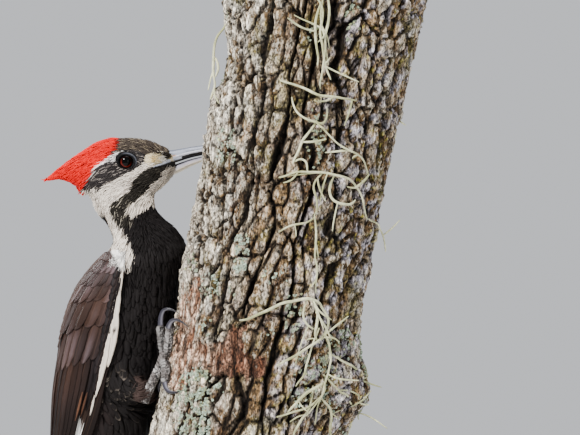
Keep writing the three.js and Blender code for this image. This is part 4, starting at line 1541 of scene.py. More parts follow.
@dataclass(frozen=True)
class Quill:
    """The section and outline of a large feather."""

    stations: int = 16
    ring: tuple[tuple[float, float], ...] = (
        (1, 0), (0.68, 0.14), (0.34, 0.22), (0.08, 0.26), (0, 0.5), (-0.08, 0.26), (-0.34, 0.22),
        (-0.68, 0.14), (-1, 0), (-0.5, -0.16), (0.5, -0.16),
    )

    def outline(self, share: Array, point: Array) -> Array:
        """The half-width along a feather, as a share of its greatest.

        Args:
            share: Places from the root, 0, to the tip, 1.
            point: 0 for a round tip, 1 for a pointed one.

        Returns:
            Numbers from 0 to 1.
        """
        base = 0.4 + 0.6 * fade(share, 0, 0.35)
        round_tip = np.sqrt(np.clip(1 - (np.clip(share - 0.74, 0, 1) / 0.262) ** 2, 0, 1))
        sharp_tip = np.clip(1 - np.clip((share - 0.42) / 0.6, 0, 1) ** 1.7, 0, 1)
        return base * (round_tip * (1 - point) + sharp_tip * point)


QUILL = Quill()


def turned_out(form: Form) -> Form:
    """Turns a form's faces out where they face in.

    Args:
        form: A closed form.

    Returns:
        The form, with its faces reversed if its volume was negative.
    """
    total = 0.0
    for corners in form.faces:
        a, b, c = (form.points[corners[:, k]] for k in range(3))
        total += dot(np.cross(a, b), c).sum()
        if corners.shape[1] == 4:
            total += dot(np.cross(a, c), form.points[corners[:, 3]]).sum()
    if total < 0:
        form.faces = [corners[:, ::-1] for corners in form.faces]
    return form


class WingFeathers:
    """The feathers of one folded wing."""

    BAND = (206, 214, 236)  # the heights where the white line starts, is full, and ends

    def __init__(self, wing: Wing) -> None:
        """Takes the wing that they lie on."""
        self.wing = wing
        self.random = wing.random

    def row(self, tract: Tract) -> Form:
        """Lays out one tract.

        Args:
            tract: The row of feathers.

        Returns:
            Its feathers as one form.
        """
        count, random = tract.count, self.random
        along = (np.arange(count) / max(count - 1, 1))[:, None, None]

        def pick(pair: tuple[float, float]) -> Array:
            """Give each feather its value between a pair's two ends."""
            return pair[0] + (pair[1] - pair[0]) * along

        def jitter(amount: float) -> Array:
            """Draw one chance offset for each feather, up to an amount either way."""
            return amount * random.uniform(-1, 1, (count, 1, 1))

        t = (1 - (1 - np.linspace(0, 1, QUILL.stations)) ** 1.35)[None, :, None]
        across, up = np.array(QUILL.ring).T[:, None, None]
        length = pick(tract.length) * (1 + jitter(0.04))
        tip = pick(tract.tip) + jitter(0.03 * length.max() * (count > 2))
        heights = tip + length * (1 - t)
        half = pick(tract.width) / 2 * QUILL.outline(t, tract.point)
        half = np.maximum(half * (1 + 0.05 * random.standard_normal((count, QUILL.stations, 1))), 0.12)
        middle = pick(tract.share) + tract.slant * (1 - t) + jitter(0.01) + jitter(0.012) * t * (count > 2)
        share = middle + half * across / np.maximum(self.wing.arc(heights), 12)
        level = tract.level[0] + (tract.level[1] - tract.level[0]) * t
        level = level - 0.12 * (tract.colour is UMBER) * along * fade(heights, 250, 285)
        level = level + 0.3 * fade(heights, 285, 250) * (tract.name in ("secondaries", "tertials"))
        raised = (
            tract.raised
            + 0.1 * (1 - along)
            + up
            - 0.05 * half * across**2
            + tract.roll * across * np.clip(half / 4, 0, 1)
            + 0.06 * t**6
            + jitter(0.08)
        )
        full = np.zeros((count, QUILL.stations, len(QUILL.ring)))
        spots = self.wing.at(heights + full, share + full, level + full, raised + full)
        ends = [spots[:, n].mean(axis=1)[:, None] for n in (0, -1)]
        points = np.concatenate([spots.reshape(count, -1, 3), *ends], axis=1)
        size = points.shape[1]
        faces = repeated(sleeve(QUILL.stations, len(QUILL.ring)), count, size)
        vane = np.zeros((count, size, 3))
        vane[:, :-2, 0] = (full + across).reshape(count, -1)
        vane[:, :-2, 1] = (full + t).reshape(count, -1)
        vane[:, -1, 1] = 1
        vane[..., 2] = random.random((count, 1))
        colour = self.colours(tract, points, vane)
        number = np.cumsum(np.ones(count)) / 97 + lattice(np.array([[tract.count, len(tract.name)]]), 5)
        root = np.stack([number % 1, np.full(count, 0.5 + 0.3 * self.wing.side.value)], axis=1)
        patch = root[:, None] + np.stack([vane[..., 0] / 2, vane[..., 1] * 8], axis=-1) * 0.003
        values = {
            "marking": colour.reshape(-1, 3),
            "vane": vane.reshape(-1, 3),
            "OFBake": patch.reshape(-1, 2),
        }
        return turned_out(Form(points.reshape(-1, 3), faces, values))

    def colours(self, tract: Tract, points: Array, vane: Array) -> Array:
        """Colours the feathers of a tract.

        Args:
            tract: The row of feathers.
            points: Their corners, as feathers by corners by three.
            vane: Their place in the feather, as across, along and chance.

        Returns:
            Linear colours.
        """
        chance = vane[..., 2:]
        colour = tract.colour * (1 + 0.7 * (chance - 0.5))
        warm = fade(drift(points, 34, 41), -0.4, 0.8)[..., None]
        if tract.colour is UMBER:
            colour = mixed(colour, COPPER, 0.3 * warm * chance)
            # A pale streak along each feather, in patches and stronger on a few of them: a painted sheen.
            painted_sheen = bell(vane[..., :1], 0.25, 0.4) * fade(vane[..., 1:2], 0.25, 0.85)
            glints = fade(drift(points * (1, 1, 0.5), 9, 42), -0.7, 0.5)[..., None]
            painted_sheen = painted_sheen * (0.25 + 1.5 * chance**3) * glints
            colour = mixed(colour, tone(158, 138, 144), 0.26 * painted_sheen * fade(points[..., 2:], 226, 262))
            # Paler along each feather's edges and tip: a painted highlight.
            rim = np.maximum(fade(np.abs(vane[..., :1]), 0.7, 1), fade(vane[..., 1:2], 0.94, 0.99))
            colour = mixed(colour, tone(120, 102, 100), 0.22 * rim * chance)
            high = points[..., 2:]
            colour = colour * (0.3 + 0.3 * fade(high, 232, 262) + 0.45 * fade(high, 296, 330))
        side, _ = STANCE.right_side(points.reshape(-1, 3))
        white = fade(inside(SHOULDER_PATCH, side), -0.8, 0.8).reshape(points.shape[:-1])
        colour = mixed(colour, WHITE, white[..., None])
        if tract.name == "primaries":
            number = np.arange(len(points))[:, None]
            start, full, end = self.BAND
            edge = end + 3 * np.sin(number * 2.4) + 2 * vane[..., 0]
            band = fade(points[..., 2], start, full) * (1 - fade(points[..., 2], edge, edge + 2))
            outer = (number == tract.count - 4) | (number == tract.count - 3)
            colour = mixed(colour, WHITE, (band * outer)[..., None])
        if tract.colour is WHITE:
            speck = (drift(points, 1.6, 9) > 0.3) & (np.abs(points[..., 2] - 294) < 5)
            colour = np.where(speck[..., None], BLACK, CHIN)
        return colour

    def make(self, finish: bpy.types.Material) -> list[bpy.types.Object]:
        """Makes the wing's bed and feathers.

        Args:
            finish: The feathers' material.

        Returns:
            The two pieces.
        """
        name = self.wing.side.name.lower()
        bed = turned_out(self.wing.bed())
        count = len(bed.points)
        # The bed takes half the feathers' umber: painted shade in the gaps between them.
        bed.values = {
            "marking": np.tile(UMBER * 0.5, (count, 1)),
            "vane": np.tile([0.0, 0.5, 0.5], (count, 1)),
            "OFBake": np.stack([bed.points[:, 2] / 600, 0.5 + bed.points[:, 1] / 300], axis=1),
        }
        feathers = Form.joined([self.row(tract) for tract in TRACTS])
        return [
            place(bed.piece(f"wing_bed_{name}", finish), "plumage_brown", f"wing_{name}"),
            place(feathers.piece(f"wing_feathers_{name}", finish), "plumage_brown"),
        ]


# ---------------------------------------------------------------- the tail


@dataclass(frozen=True)
class TailPoint:
    """A place that every tail feather passes: where it is in the side view and how the fan spreads there."""

    x: float
    z: float
    spread: float
    half: float


class Tail:
    """Stiff pointed feathers in a fan, with the middle pair the longest."""

    PAIRS = 5
    ROOT = TailPoint(-122, 196, 1.6, 2.2)
    BEND = TailPoint(-118, 150, 3.2, 5.2)
    TIP = TailPoint(-101.2, 62, 4.6, 6.2)
    STEP = 9
    CUP = 1.1
    SAG = 1.35

    def line(self, side: int, pair: int) -> Array:
        """Finds the rows that one feather follows.

        Args:
            side: -1 on the right, 1 on the left.
            pair: 0 for the middle pair.

        Returns:
            Rows of x, y, z and half-width.
        """

        def spot(at: TailPoint, x: float, z: float, cup: float) -> Array:
            """Place a point of this feather once the tail is fanned and cupped."""
            aside = side * (pair + 0.5) * at.spread * STANCE.left
            return STANCE.on_body(x, z) + aside - STANCE.away * cup * self.CUP * pair

        low = self.TIP.z + self.STEP * pair**1.25
        share = (self.BEND.z - low) / (self.BEND.z - self.TIP.z)
        low_x = self.BEND.x + (self.TIP.x - self.BEND.x) * share**self.SAG
        root = spot(self.ROOT, self.ROOT.x, self.ROOT.z, 0.6)
        bend = spot(self.BEND, self.BEND.x, self.BEND.z, 0.8)
        tip = spot(self.TIP, low_x, low, 1.0)
        shoulder = bend + 0.62 * (tip - bend) + 1.8 * STANCE.away
        neck = shoulder + 0.55 * (tip - shoulder) + 0.3 * STANCE.away
        half = self.TIP.half
        places = (root, bend, shoulder, neck, tip)
        widths = (self.ROOT.half, self.BEND.half, half, 0.72 * half, 0.5)
        return np.array([[*place_, width] for place_, width in zip(places, widths)])

    def make(self, finish: bpy.types.Material) -> bpy.types.Object:
        """Makes the tail's feathers.

        Args:
            finish: Their material.

        Returns:
            The tail piece.
        """
        random = np.random.default_rng(29)
        forms = []
        across, up = np.array(QUILL.ring).T
        t = np.linspace(0, 1, 34)
        for pair in range(self.PAIRS):
            for side in (-1, 1):
                rows = along_table(self.line(side, pair), t)
                ahead = unit(np.gradient(rows[:, :3], axis=0))
                off = unit(np.cross(STANCE.left, ahead))
                off *= np.sign(dot(off, STANCE.away))
                aside = np.cross(off, ahead)
                fray = 1 - 0.22 * random.random((len(t), len(across))) * fade(t, 0.72, 0.95)[:, None]
                half = rows[:, 3:] * fray
                stack = 0.32 * (self.PAIRS - pair) + 0.12 * side
                height = 1.6 * up * np.minimum(1, rows[:, 3:] / 3) - 0.05 * half * across**2 + stack - 0.8
                rings = (
                    rows[:, None, :3]
                    + aside[:, None] * (half * across)[..., None]
                    + off[:, None] * height[..., None]
                )
                chance = random.random()
                vane = np.stack(
                    [np.tile(across, (len(t), 1)), np.repeat(t[:, None], len(across), 1), 0 * half + chance],
                    axis=-1,
                )
                shaft = np.exp(-((across / 0.1) ** 2))[None, :, None] * fade(1 - t, 0.05, 0.4)[:, None, None]
                colour = BLACK * 1.15 + (tone(84, 74, 66) - BLACK) * shaft * 0.6
                patch = [0.1 * pair + 0.04 * side + 0.3 + vane[..., 0] * 0.0015, t[:, None] * 0.03 + 0 * half]
                values = {"marking": colour + 0 * vane, "vane": vane, "OFBake": np.stack(patch, axis=-1)}
                forms.append(turned_out(tube(rings, rows[0, :3], rows[-1, :3] + ahead[-1] * 1.2, values)))
        return place(Form.joined(forms).piece("tail_feathers", finish), "plumage_black", "tail")


# ---------------------------------------------------------------- bill, eyes and lids


class Bill:
    """The two halves of the bill, lofted on the head's midplane."""

    UPPER = (
        (-66, 414.5, -67, 405, 5.6, 1),
        (-59, 415, -59, 406, 5.6, 1),
        (-47.5, 417, -48, 409.5, 4.9, 1),
        (-37, 418.5, -37.5, 412, 4.1, 1),
        (-26.5, 420, -26.5, 415.5, 3.1, 1),
        (-17.5, 421, -17.5, 419, 1.9, 1),
    )
    LOWER = (
        (-66, 404.5, -63, 397.5, 5.2, 1),
        (-59, 405.4, -57.5, 399, 5.1, 1),
        (-48, 409, -47.5, 404, 4.4, 1),
        (-37.5, 411.5, -37.5, 408.3, 3.5, 1),
        (-26.5, 415, -26.5, 413.3, 2.5, 1),
        (-18, 418.4, -18, 417.4, 1.4, 1),
    )
    GAPE = ((-75, 403.2), (-69, 404.6), (-60, 407), (-60, 409.5), (-66, 408), (-71, 406))
    STATIONS = 72
    SIDES = 48
    NOSTRIL = 0.2

    def half(self, rows: tuple, upper: bool) -> Form:
        """Lofts one half.

        Args:
            rows: Its rows: top x and z, bottom x and z, half-width and the turn.
            upper: Whether it is the upper half.

        Returns:
            The closed form with its colours.
        """
        t = np.linspace(0, 1, self.STATIONS)[:, None] + np.zeros((1, self.SIDES))
        angle = circle(self.SIDES)[None] + 0 * t
        centre, left, up, values = STANCE.ring(np.array(rows, float), t)
        tall, wide = np.cos(angle), np.sin(angle)
        half = values[..., 4] - 0.35 * t**6
        off = np.abs(wide)
        if upper:
            # A sharp ridge on top, a groove and side ridge from the nostril on, and a flat tomial edge.
            width = half * np.sign(wide) * off**0.9 * (1 - 0.16 * bell(tall, 0.42, 0.2) * (1 - t))
            width *= 1 + 0.1 * bell(tall, 0.05, 0.16) * (1 - 0.7 * t)
            height = np.where(tall > 0, np.abs(tall) ** 1.25, tall * 0.94)
            pit = np.exp(-(((t - self.NOSTRIL) / 0.035) ** 2) - ((tall - 0.22) / 0.12) ** 2)
            width -= 0.9 * np.sign(wide) * pit * (off > 0.5)
        else:
            width = half * np.sign(wide) * off**0.85 * (1 + 0.05 * bell(tall, -0.25, 0.2))
            height = np.where(tall < 0, -(np.abs(tall) ** 0.9), tall * 0.94)
        rings = centre + up * height[..., None] + left * width[..., None]
        rings += 0.05 * drift(rings * (0.25, 1, 1), 1.6, 3, 2)[..., None] * unit(rings - centre + 1e-6)
        colour = self.upper_colour(t, tall) if upper else self.lower_colour(t, tall)
        streak = drift(rings * (0.12, 1, 1), 0.9, 17, 2)[..., None]
        colour = np.clip(colour * (1 + 0.16 * streak), 0, 1)
        tip = centre[-1, 0] + STANCE.head_forward * (0.5 if upper else 0.3) + up[-1, 0] * 0.15
        return turned_out(tube(rings, centre[0, 0] - STANCE.head_forward * 0.4, tip, {"marking": colour}))

    @staticmethod
    def upper_colour(t: Array, tall: Array) -> Array:
        """Colours the upper half by its place round the bill, with a painted highlight in a band along its
        side and painted shadow along its lower edge.

        Args:
            t: Places from base to tip.
            tall: 1 on the ridge, -1 at the bottom.

        Returns:
            Linear colours.
        """
        slate, pale, dark = tone(70, 76, 92), tone(150, 155, 170), tone(15, 14, 16)
        colour = mixed(slate, pale, fade(tall, 1.0, 0.7)[..., None])
        middle = 0.32 + 0.3 * (t - 0.25)
        line = bell(tall, middle, 0.055) * fade(t, 0.18, 0.28) * fade(t, 0.95, 0.7)
        colour = mixed(colour, dark, 0.85 * line[..., None])
        # A pale band along the side, below the groove line: a painted highlight.
        band = tone(186, 186, 198)
        colour = mixed(colour, band, (fade(tall, middle - 0.06, middle - 0.14))[..., None])
        hollow = np.exp(-(((t - Bill.NOSTRIL) / 0.05) ** 2) - ((tall - 0.22) / 0.13) ** 2)
        colour = mixed(colour, tone(150, 110, 78), (hollow > 0.5)[..., None])
        # Dark along the lower part: the dark tomial edge, with painted shadow of the gap between the halves.
        edge = -0.2 - 1.2 * (t - 0.45) ** 2
        dark_edge_and_shadow = fade(tall, edge + 0.07, edge - 0.07) * fade(t, 0.06, 0.2)
        colour = mixed(colour, dark, dark_edge_and_shadow[..., None])
        return mixed(colour, tone(70, 74, 84), 0.55 * fade(t, 0.86, 1.0)[..., None])

    @staticmethod
    def lower_colour(t: Array, tall: Array) -> Array:
        """Colours the lower half by its place round the bill, with painted shade along its top.

        Args:
            t: Places from base to tip.
            tall: 1 at the top, -1 on the bottom ridge.

        Returns:
            Linear colours.
        """
        lavender, ivory, dusk = tone(158, 154, 166), tone(222, 208, 182), tone(52, 50, 58)
        colour = mixed(ivory, lavender, fade(tall, -0.6, 0.3)[..., None])
        # Darker along the top, under the upper half: painted shade.
        colour = mixed(colour, dusk, 0.9 * fade(tall, 0.5, 0.75)[..., None])
        colour = mixed(colour, tone(120, 122, 136), 0.7 * fade(t, 0.28, 0.08)[..., None])
        return mixed(colour, dusk, 0.7 * fade(t, 0.72, 1.0)[..., None])

    def gape(self, skin: "Surface") -> Form:
        """Makes the horny edge of the upper half, which runs back to the corner of the mouth on both sides.

        Args:
            skin: The bird's skin.

        Returns:
            Two tapered strips, joined.
        """
        rows = np.array(
            [(-75.5, 402.8, 0.3), (-72, 403.9, 0.75), (-68, 405.2, 1.25),
             (-64, 406.6, 1.7), (-59.5, 408.2, 1.9), (-54, 409.6, 1.5)]
        )
        strips = []
        t = np.linspace(0, 1, 30)
        turn = circle(16)
        for side in Side:
            line = along_table(rows, t)
            out = STANCE.head_left * side.value
            middle = STANCE.on_head(line[:, 0], line[:, 1])
            found, _, _ = skin.nearest(middle + out * 13)
            reach = (found - middle) @ out
            # Past the head's front the strip runs on along the side of the bill.
            bill = np.interp(line[:, 0], (-66, -59, -47.5), (5.5, 5.3, 4.6))
            reach = np.where(line[:, 0] > -62, bill, np.maximum(reach, bill))
            reach = np.convolve(np.pad(reach, 4, mode="edge"), np.ones(9) / 9, "valid") - 0.15
            middle = middle + out * reach[:, None]
            ahead = unit(np.gradient(middle, axis=0))
            up = unit(np.cross(out, ahead)) * -side.value
            flat = unit(np.cross(ahead, up))
            tall, thick = line[:, 2:], 0.55 + 0 * line[:, 2:]
            rings = (
                middle[:, None]
                + up[:, None] * (tall * np.sin(turn))[..., None]
                + flat[:, None] * (thick * np.cos(turn))[..., None]
            )
            level = np.sin(turn)[None] + 0 * tall
            pale, dark = tone(150, 154, 166), tone(22, 21, 24)
            colour = mixed(dark, pale, fade(level, -0.35, 0.2)[..., None])
            ends = [middle[0] - ahead[0] * 0.5, middle[-1] + ahead[-1] * 0.5]
            strips.append(turned_out(tube(rings, ends[0], ends[1], {"marking": colour})))
        return Form.joined(strips)

    def make(self, skin: "Surface") -> list[bpy.types.Object]:
        """Makes both halves and the corners of the mouth.

        Args:
            skin: The bird's skin.

        Returns:
            The three pieces.
        """
        horn = HardFinish("bill_horn", 0.3, 0.25, 0.7, (0.12, 1, 1), 0.05, 0.22).build()
        ivory = HardFinish("bill_ivory", 0.34, 0.2, 0.7, (0.12, 1, 1), 0.05, 0.2).build()
        upper, lower = self.half(self.UPPER, True), self.half(self.LOWER, False)
        return [
            place(upper.piece("bill_upper_horn", horn), "bill_horn", "bill_upper"),
            place(lower.piece("bill_lower_horn", ivory), "bill_ivory", "bill_lower"),
            place(self.gape(skin).piece("bill_gape", horn), "bill_horn"),
        ]


class Eye:
    """An eyeball and the ring of lids round it."""

    X, HEIGHT, RADIUS, SPREAD = -91.4, 407.1, 5.6, 12.2
    LIDS = (  # the section of the ring of lids: how far out from the eye's middle, and how far it stands up
        (3.5, 3.9), (4.1, 4.25), (4.35, 4.75), (4.7, 5.2), (5.1, 5.4), (5.5, 5.2), (5.75, 5.0), (6.0, 5.12),
        (6.3, 4.95), (6.8, 4.3), (7.3, 3.3), (6.0, 2.0), (3.4, 2.6),
    )

    def __init__(self, side: Side) -> None:
        """Places an eye.

        Args:
            side: Which eye.
        """
        self.side = side
        self.out = STANCE.head_left * side.value
        self.ahead = STANCE.head_forward
        self.centre = STANCE.on_head(self.X, self.HEIGHT) + self.out * self.SPREAD

    def ball(self) -> Form:
        """Makes the eyeball.

        Returns:
            A closed ball with its colours.
        """
        lean = np.linspace(0, np.pi, 50)[1:-1, None]
        round_ = circle(72)[None]
        flat = self.ahead * np.cos(round_)[..., None] + UP * np.sin(round_)[..., None]
        cornea = 1 + 0.035 * np.exp(-((lean / 0.62) ** 2))
        rings = self.centre + self.RADIUS * cornea[..., None] * (
            np.sin(lean)[..., None] * flat + np.cos(lean)[..., None] * self.out
        )
        reach = self.RADIUS * np.sin(lean) + 0 * round_
        reach = np.where(lean > np.pi / 2, self.RADIUS, reach)
        spokes = [np.cos(round_) * 9 + 0 * reach, np.sin(round_) * 9 + 0 * reach, reach * 0.6]
        fibre = drift(np.stack(spokes, axis=-1), 1, 5)
        # The iris is darker towards its top: painted shade under the brow.
        lower = 0.05 + 0.95 * fade(-np.sin(round_) - 0.4 * np.cos(round_), -0.5, 0.7)
        iris = tone(84, 20, 13) * (1 + 0.35 * fibre)[..., None] * lower[..., None]
        colour = iris * fade(reach, 2.75, 3.0)[..., None]
        colour = mixed(colour, tone(6, 4, 4), fade(reach, 3.5, 3.8)[..., None])
        end = [self.centre + self.RADIUS * 1.035 * self.out, self.centre - self.RADIUS * self.out]
        return turned_out(tube(rings, end[0], end[1], {"marking": colour}))

    def lids(self) -> Form:
        """Makes the lids: a wrinkled ring that the eyeball looks out of.

        Returns:
            A closed ring.
        """
        sides = 96
        turn = circle(sides)[:, None]
        rows = np.array(self.LIDS)[None]
        reach = rows[..., 0] + 0 * turn
        crest = bell(reach, 5.2, 1.4)
        wrinkle = np.sin(turn * 22 + 3 * np.sin(turn * 3)) * 0.1 * crest * (reach > 4.1)
        fold = np.sin(turn * 7 + 1.2) * 0.06 * crest
        rise = rows[..., 1] - 0.35 + wrinkle + fold
        # The opening is a little longer than tall, and it droops to its front corner.
        long = reach * (1.1 + 0.03 * np.cos(turn))
        tall = reach * (0.95 + 0.02 * np.cos(2 * turn))
        points = (
            self.centre
            + self.ahead * (np.cos(turn) * long)[..., None]
            + UP * (np.sin(turn) * tall - 0.2 * np.cos(turn))[..., None]
            + self.out * (rise - 0.02 * long**2)[..., None]
        )
        count = len(self.LIDS)
        k, m = np.arange(sides)[:, None], np.arange(count)[None]
        nxt, over = (k + 1) % sides, (m + 1) % count
        quads = np.stack([k * count + m, nxt * count + m, nxt * count + over, k * count + over], axis=-1)
        pale = bell(reach, 5.9, 0.4) + 0.25 * bell(reach, 4.55, 0.15)
        upper = 0.04 + 0.96 * fade(np.cos(turn) + 0.7 * np.sin(turn), 0.0, 0.9)
        grey = mixed(tone(9, 8, 9), tone(84, 86, 94), (0.85 * pale * upper)[..., None])
        values = {"marking": grey.reshape(-1, 3)}
        return turned_out(Form(points.reshape(-1, 3), [quads.reshape(-1, 4)], values))

    def make(self, wet: bpy.types.Material, lid: bpy.types.Material) -> list[bpy.types.Object]:
        """Makes the eye.

        Args:
            wet: The eyeball's material.
            lid: The lids' material.

        Returns:
            The eyeball and the lids.
        """
        name = self.side.name.lower()
        return [
            place(self.ball().piece(f"eyeball_{name}", wet), "eye", f"eye_{name}"),
            place(self.lids().piece(f"eyelids_{name}", lid), "leg_scales"),
        ]


# ---------------------------------------------------------------- legs and claws


class Leg:
    """A scaled leg with its four toes and claws."""

    NODES = ("shank", "foot", "toe_inner_front", "toe_outer_front", "toe_outer_back", "toe_hind")
    DROP = 9  # how much lower the left foot holds on
    BONES = (
        ((-77, -0.2, 252), (-73.6, -2, 259), (-68.4, -4.8, 270), (-64.2, -7, 278.6), (-62.8, -9, 283)),
        ((-63.8, -6.2, 282.5), (-65.4, -4.8, 291), (-66.3, -4, 299.6), (-66.2, -4, 302)),
        ((-61.2, -10.4, 284.2), (-60.2, -13, 292.5), (-59.6, -14.6, 300.2), (-59.4, -14.8, 302.4)),
        ((-62.6, -11.4, 276.8), (-62.2, -16.2, 271), (-62.6, -20.4, 265.4), (-62.6, -21.6, 263.6)),
        ((-63.4, -4.6, 275), (-64, -2, 270.6), (-65, 0.2, 266.4), (-65.4, 0.8, 264.6)),
    )
    CLAWS = {
        "inner_front": ((-66.4, -4, 300.6), (-67, -5, 317.6), (-54, -9.5, 308.6)),
        "outer_front": ((-61, -16, 299.6), (-58.4, -20, 310), (-47.6, -27.4, 300.4)),
        "outer_back": ((-63, -21.4, 264), (-62.2, -27.6, 254.6), (-50.2, -36.4, 260.2)),
        "hind": ((-65.4, 0.8, 264.8), (-69.6, 2.6, 258.2), (-64.4, 3.4, 255.8)),
    }
    PITCH = 2.5  # from one scute to the next
    VOXEL = 0.42

    def __init__(self, side: Side) -> None:
        """Chooses the leg."""
        self.side = side
        self.name = side.name.lower()

    def on_side(self, points: Array) -> Array:
        """Takes points of the right leg to this leg.

        Args:
            points: Points of the right leg.

        Returns:
            The same points, or their mirror images set lower on the trunk.
        """
        points = np.asarray(points, float)
        if self.side is Side.RIGHT:
            return points
        middle = STANCE.axis(np.zeros(points.shape[:-1]))
        mirrored = points - 2 * dot(points - middle, STANCE.left) * STANCE.left
        return mirrored - self.DROP * STANCE.up

    def scales(self) -> Form:
        """Makes the leg's scaled skin.

        Returns:
            A closed form with its colours.
        """
        names = [f"{node}_{self.name}" for node in self.NODES]
        points, triangles = fused(names, self.VOXEL, 0.42, 3)
        normals = corner_normals(points, triangles)
        best = np.full(len(points), np.inf)
        along = np.zeros(len(points))
        side_on = np.zeros(len(points))
        nearest = np.zeros(len(points))
        for bone, line in enumerate(self.BONES):
            joints = self.on_side(line)
            run = 13.0 * bone
            for a, b in zip(joints[:-1], joints[1:]):
                edge = b - a
                share = np.clip((points - a) @ edge / (edge @ edge), 0, 1)
                gap = np.linalg.norm(points - a - share[:, None] * edge, axis=1)
                out = STANCE.away - unit(edge) * (STANCE.away @ unit(edge))
                closer = gap < best
                length = float(np.linalg.norm(edge))
                along = np.where(closer, run + share * length, along)
                nearest = np.where(closer, bone, nearest)
                side_on = np.where(closer, normals @ unit(out), side_on)
                best = np.minimum(best, gap)
                run += length
        # Broad scutes cross the front of each bone; small round scales cover its back.
        wave = (along + 1.1 * drift(points, 3.2, 8)) / self.PITCH
        into = np.abs(wave - np.floor(wave) - 0.5) * 2
        wear_and_highlight = fade(drift(points, 2.2, 13), -0.9, 0.3)
        scute = 1 - fade(into, 0.55, 0.95) * wear_and_highlight
        shank = nearest == 0
        broad = np.where(shank, fade(side_on, 0.15, 0.4), fade(side_on, -0.35, 0.0))
        small = self.pebbles(points)
        height = (
            broad * (0.5 * scute - 0.44 + 0.26 * (wave - np.floor(wave)))
            + (1 - broad) * 0.42 * (small - 0.7)
        )
        dark = broad * (1 - scute) + (1 - broad) * (1 - fade(small, 0.2, 0.62))
        pale, grime, gap_tone = tone(172, 168, 166), tone(82, 73, 70), tone(10, 9, 10)
        dust = fade(drift(points, 3.2, 77, 2), -0.35, 0.5)[:, None]
        colour = mixed(pale, grime, dust * 0.8)
        # The toes are darker than the shank, and the inner front toe darker still: painted shade, as it lies
        # in shadow.
        colour = colour * (1 - 0.3 * (nearest > 0) - 0.25 * (nearest == 1))[:, None]
        colour = mixed(colour, gap_tone, 0.95 * dark[:, None])
        moved = points + normals * height[:, None]
        return Form(moved, [triangles], {"marking": colour})

    @staticmethod
    def pebbles(points: Array) -> Array:
        """Lays small round scales.

        Args:
            points: Places on the leg.

        Returns:
            1 at the middle of a scale, and 0 in the gaps.
        """
        scaled = points / 1.5
        base = np.floor(scaled)
        first = np.full(len(points), 9.0)
        second = first.copy()
        for shift in np.ndindex(3, 3, 3):
            cell = base + np.array(shift) - 1
            centre = cell + np.stack([lattice(cell, seed) for seed in (61, 62, 63)], axis=1)
            gap = np.linalg.norm(scaled - centre, axis=1)
            second = np.minimum(second, np.maximum(gap, first))
            first = np.minimum(first, gap)
        return np.clip((second - first) * 2.2, 0, 1)

    def claw(self, name: str) -> Form:
        """Makes one curved claw.

        Args:
            name: Its toe.

        Returns:
            The closed claw with its colours.
        """
        root, bend, tip = self.on_side(self.CLAWS[name])
        t = np.linspace(0, 1, 26)[:, None]
        line = (1 - t) ** 2 * root + 2 * t * (1 - t) * bend + t**2 * tip
        ahead = unit(np.gradient(line, axis=0))
        flat = unit(np.cross(bend - root, tip - root))
        up = np.cross(flat, ahead)
        round_ = circle(20)[None]
        wide = 0.16 + 1.34 * (1 - t) ** 0.85
        deep = 0.2 + 2.0 * (1 - t) ** 0.8
        under = 1 - 0.3 * fade(-np.sin(round_), 0.2, 0.9)
        ridge = 0.03 * np.sin(t * 40) * (1 - t)
        rings = (
            line[:, None]
            + flat * (np.cos(round_) * (wide + ridge))[..., None]
            + up[:, None] * (np.sin(round_) * deep * under)[..., None]
        )
        base, end = tone(46, 44, 53), tone(18, 17, 22)
        shade = fade(t + 0 * round_, 0.25, 0.95)[..., None]
        colour = mixed(base, end, shade)
        # A paler band along the claw's upper side, fading toward the tip: a painted highlight.
        wear_and_highlight = bell(np.sin(round_), 0.75, 0.3)[..., None]
        colour = mixed(colour, tone(132, 130, 142), 0.6 * wear_and_highlight * (1 - 0.6 * shade))
        colour = colour * (1 + 0.14 * drift(rings * (1, 1, 0.3), 1.4, 14, 2))[..., None]
        return turned_out(tube(rings, root - ahead[0] * 0.6, tip + ahead[-1] * 0.25, {"marking": colour}))

    def make(self, scaled: bpy.types.Material, horn: bpy.types.Material) -> list[bpy.types.Object]:
        """Makes the leg and its claws.

        Args:
            scaled: The leg's material.
            horn: The claws' material.

        Returns:
            The pieces.
        """
        nodes = [f"{node}_{self.name}" for node in self.NODES]
        pieces = [place(self.scales().piece(f"leg_{self.name}", scaled), "leg_scales", *nodes)]
        for name in self.CLAWS:
            piece = self.claw(name).piece(f"claw_horn_{name}_{self.name}", horn)
            pieces.append(place(piece, "claw", f"claw_{name}_{self.name}"))
        return pieces


# ---------------------------------------------------------------- the trunk


@dataclass(frozen=True)
class Lump:
    """A swelling or a hollow of the trunk."""

    height: float
    degrees: float  # round from -X to -Y
    rise: float
    up: float
    wide: float


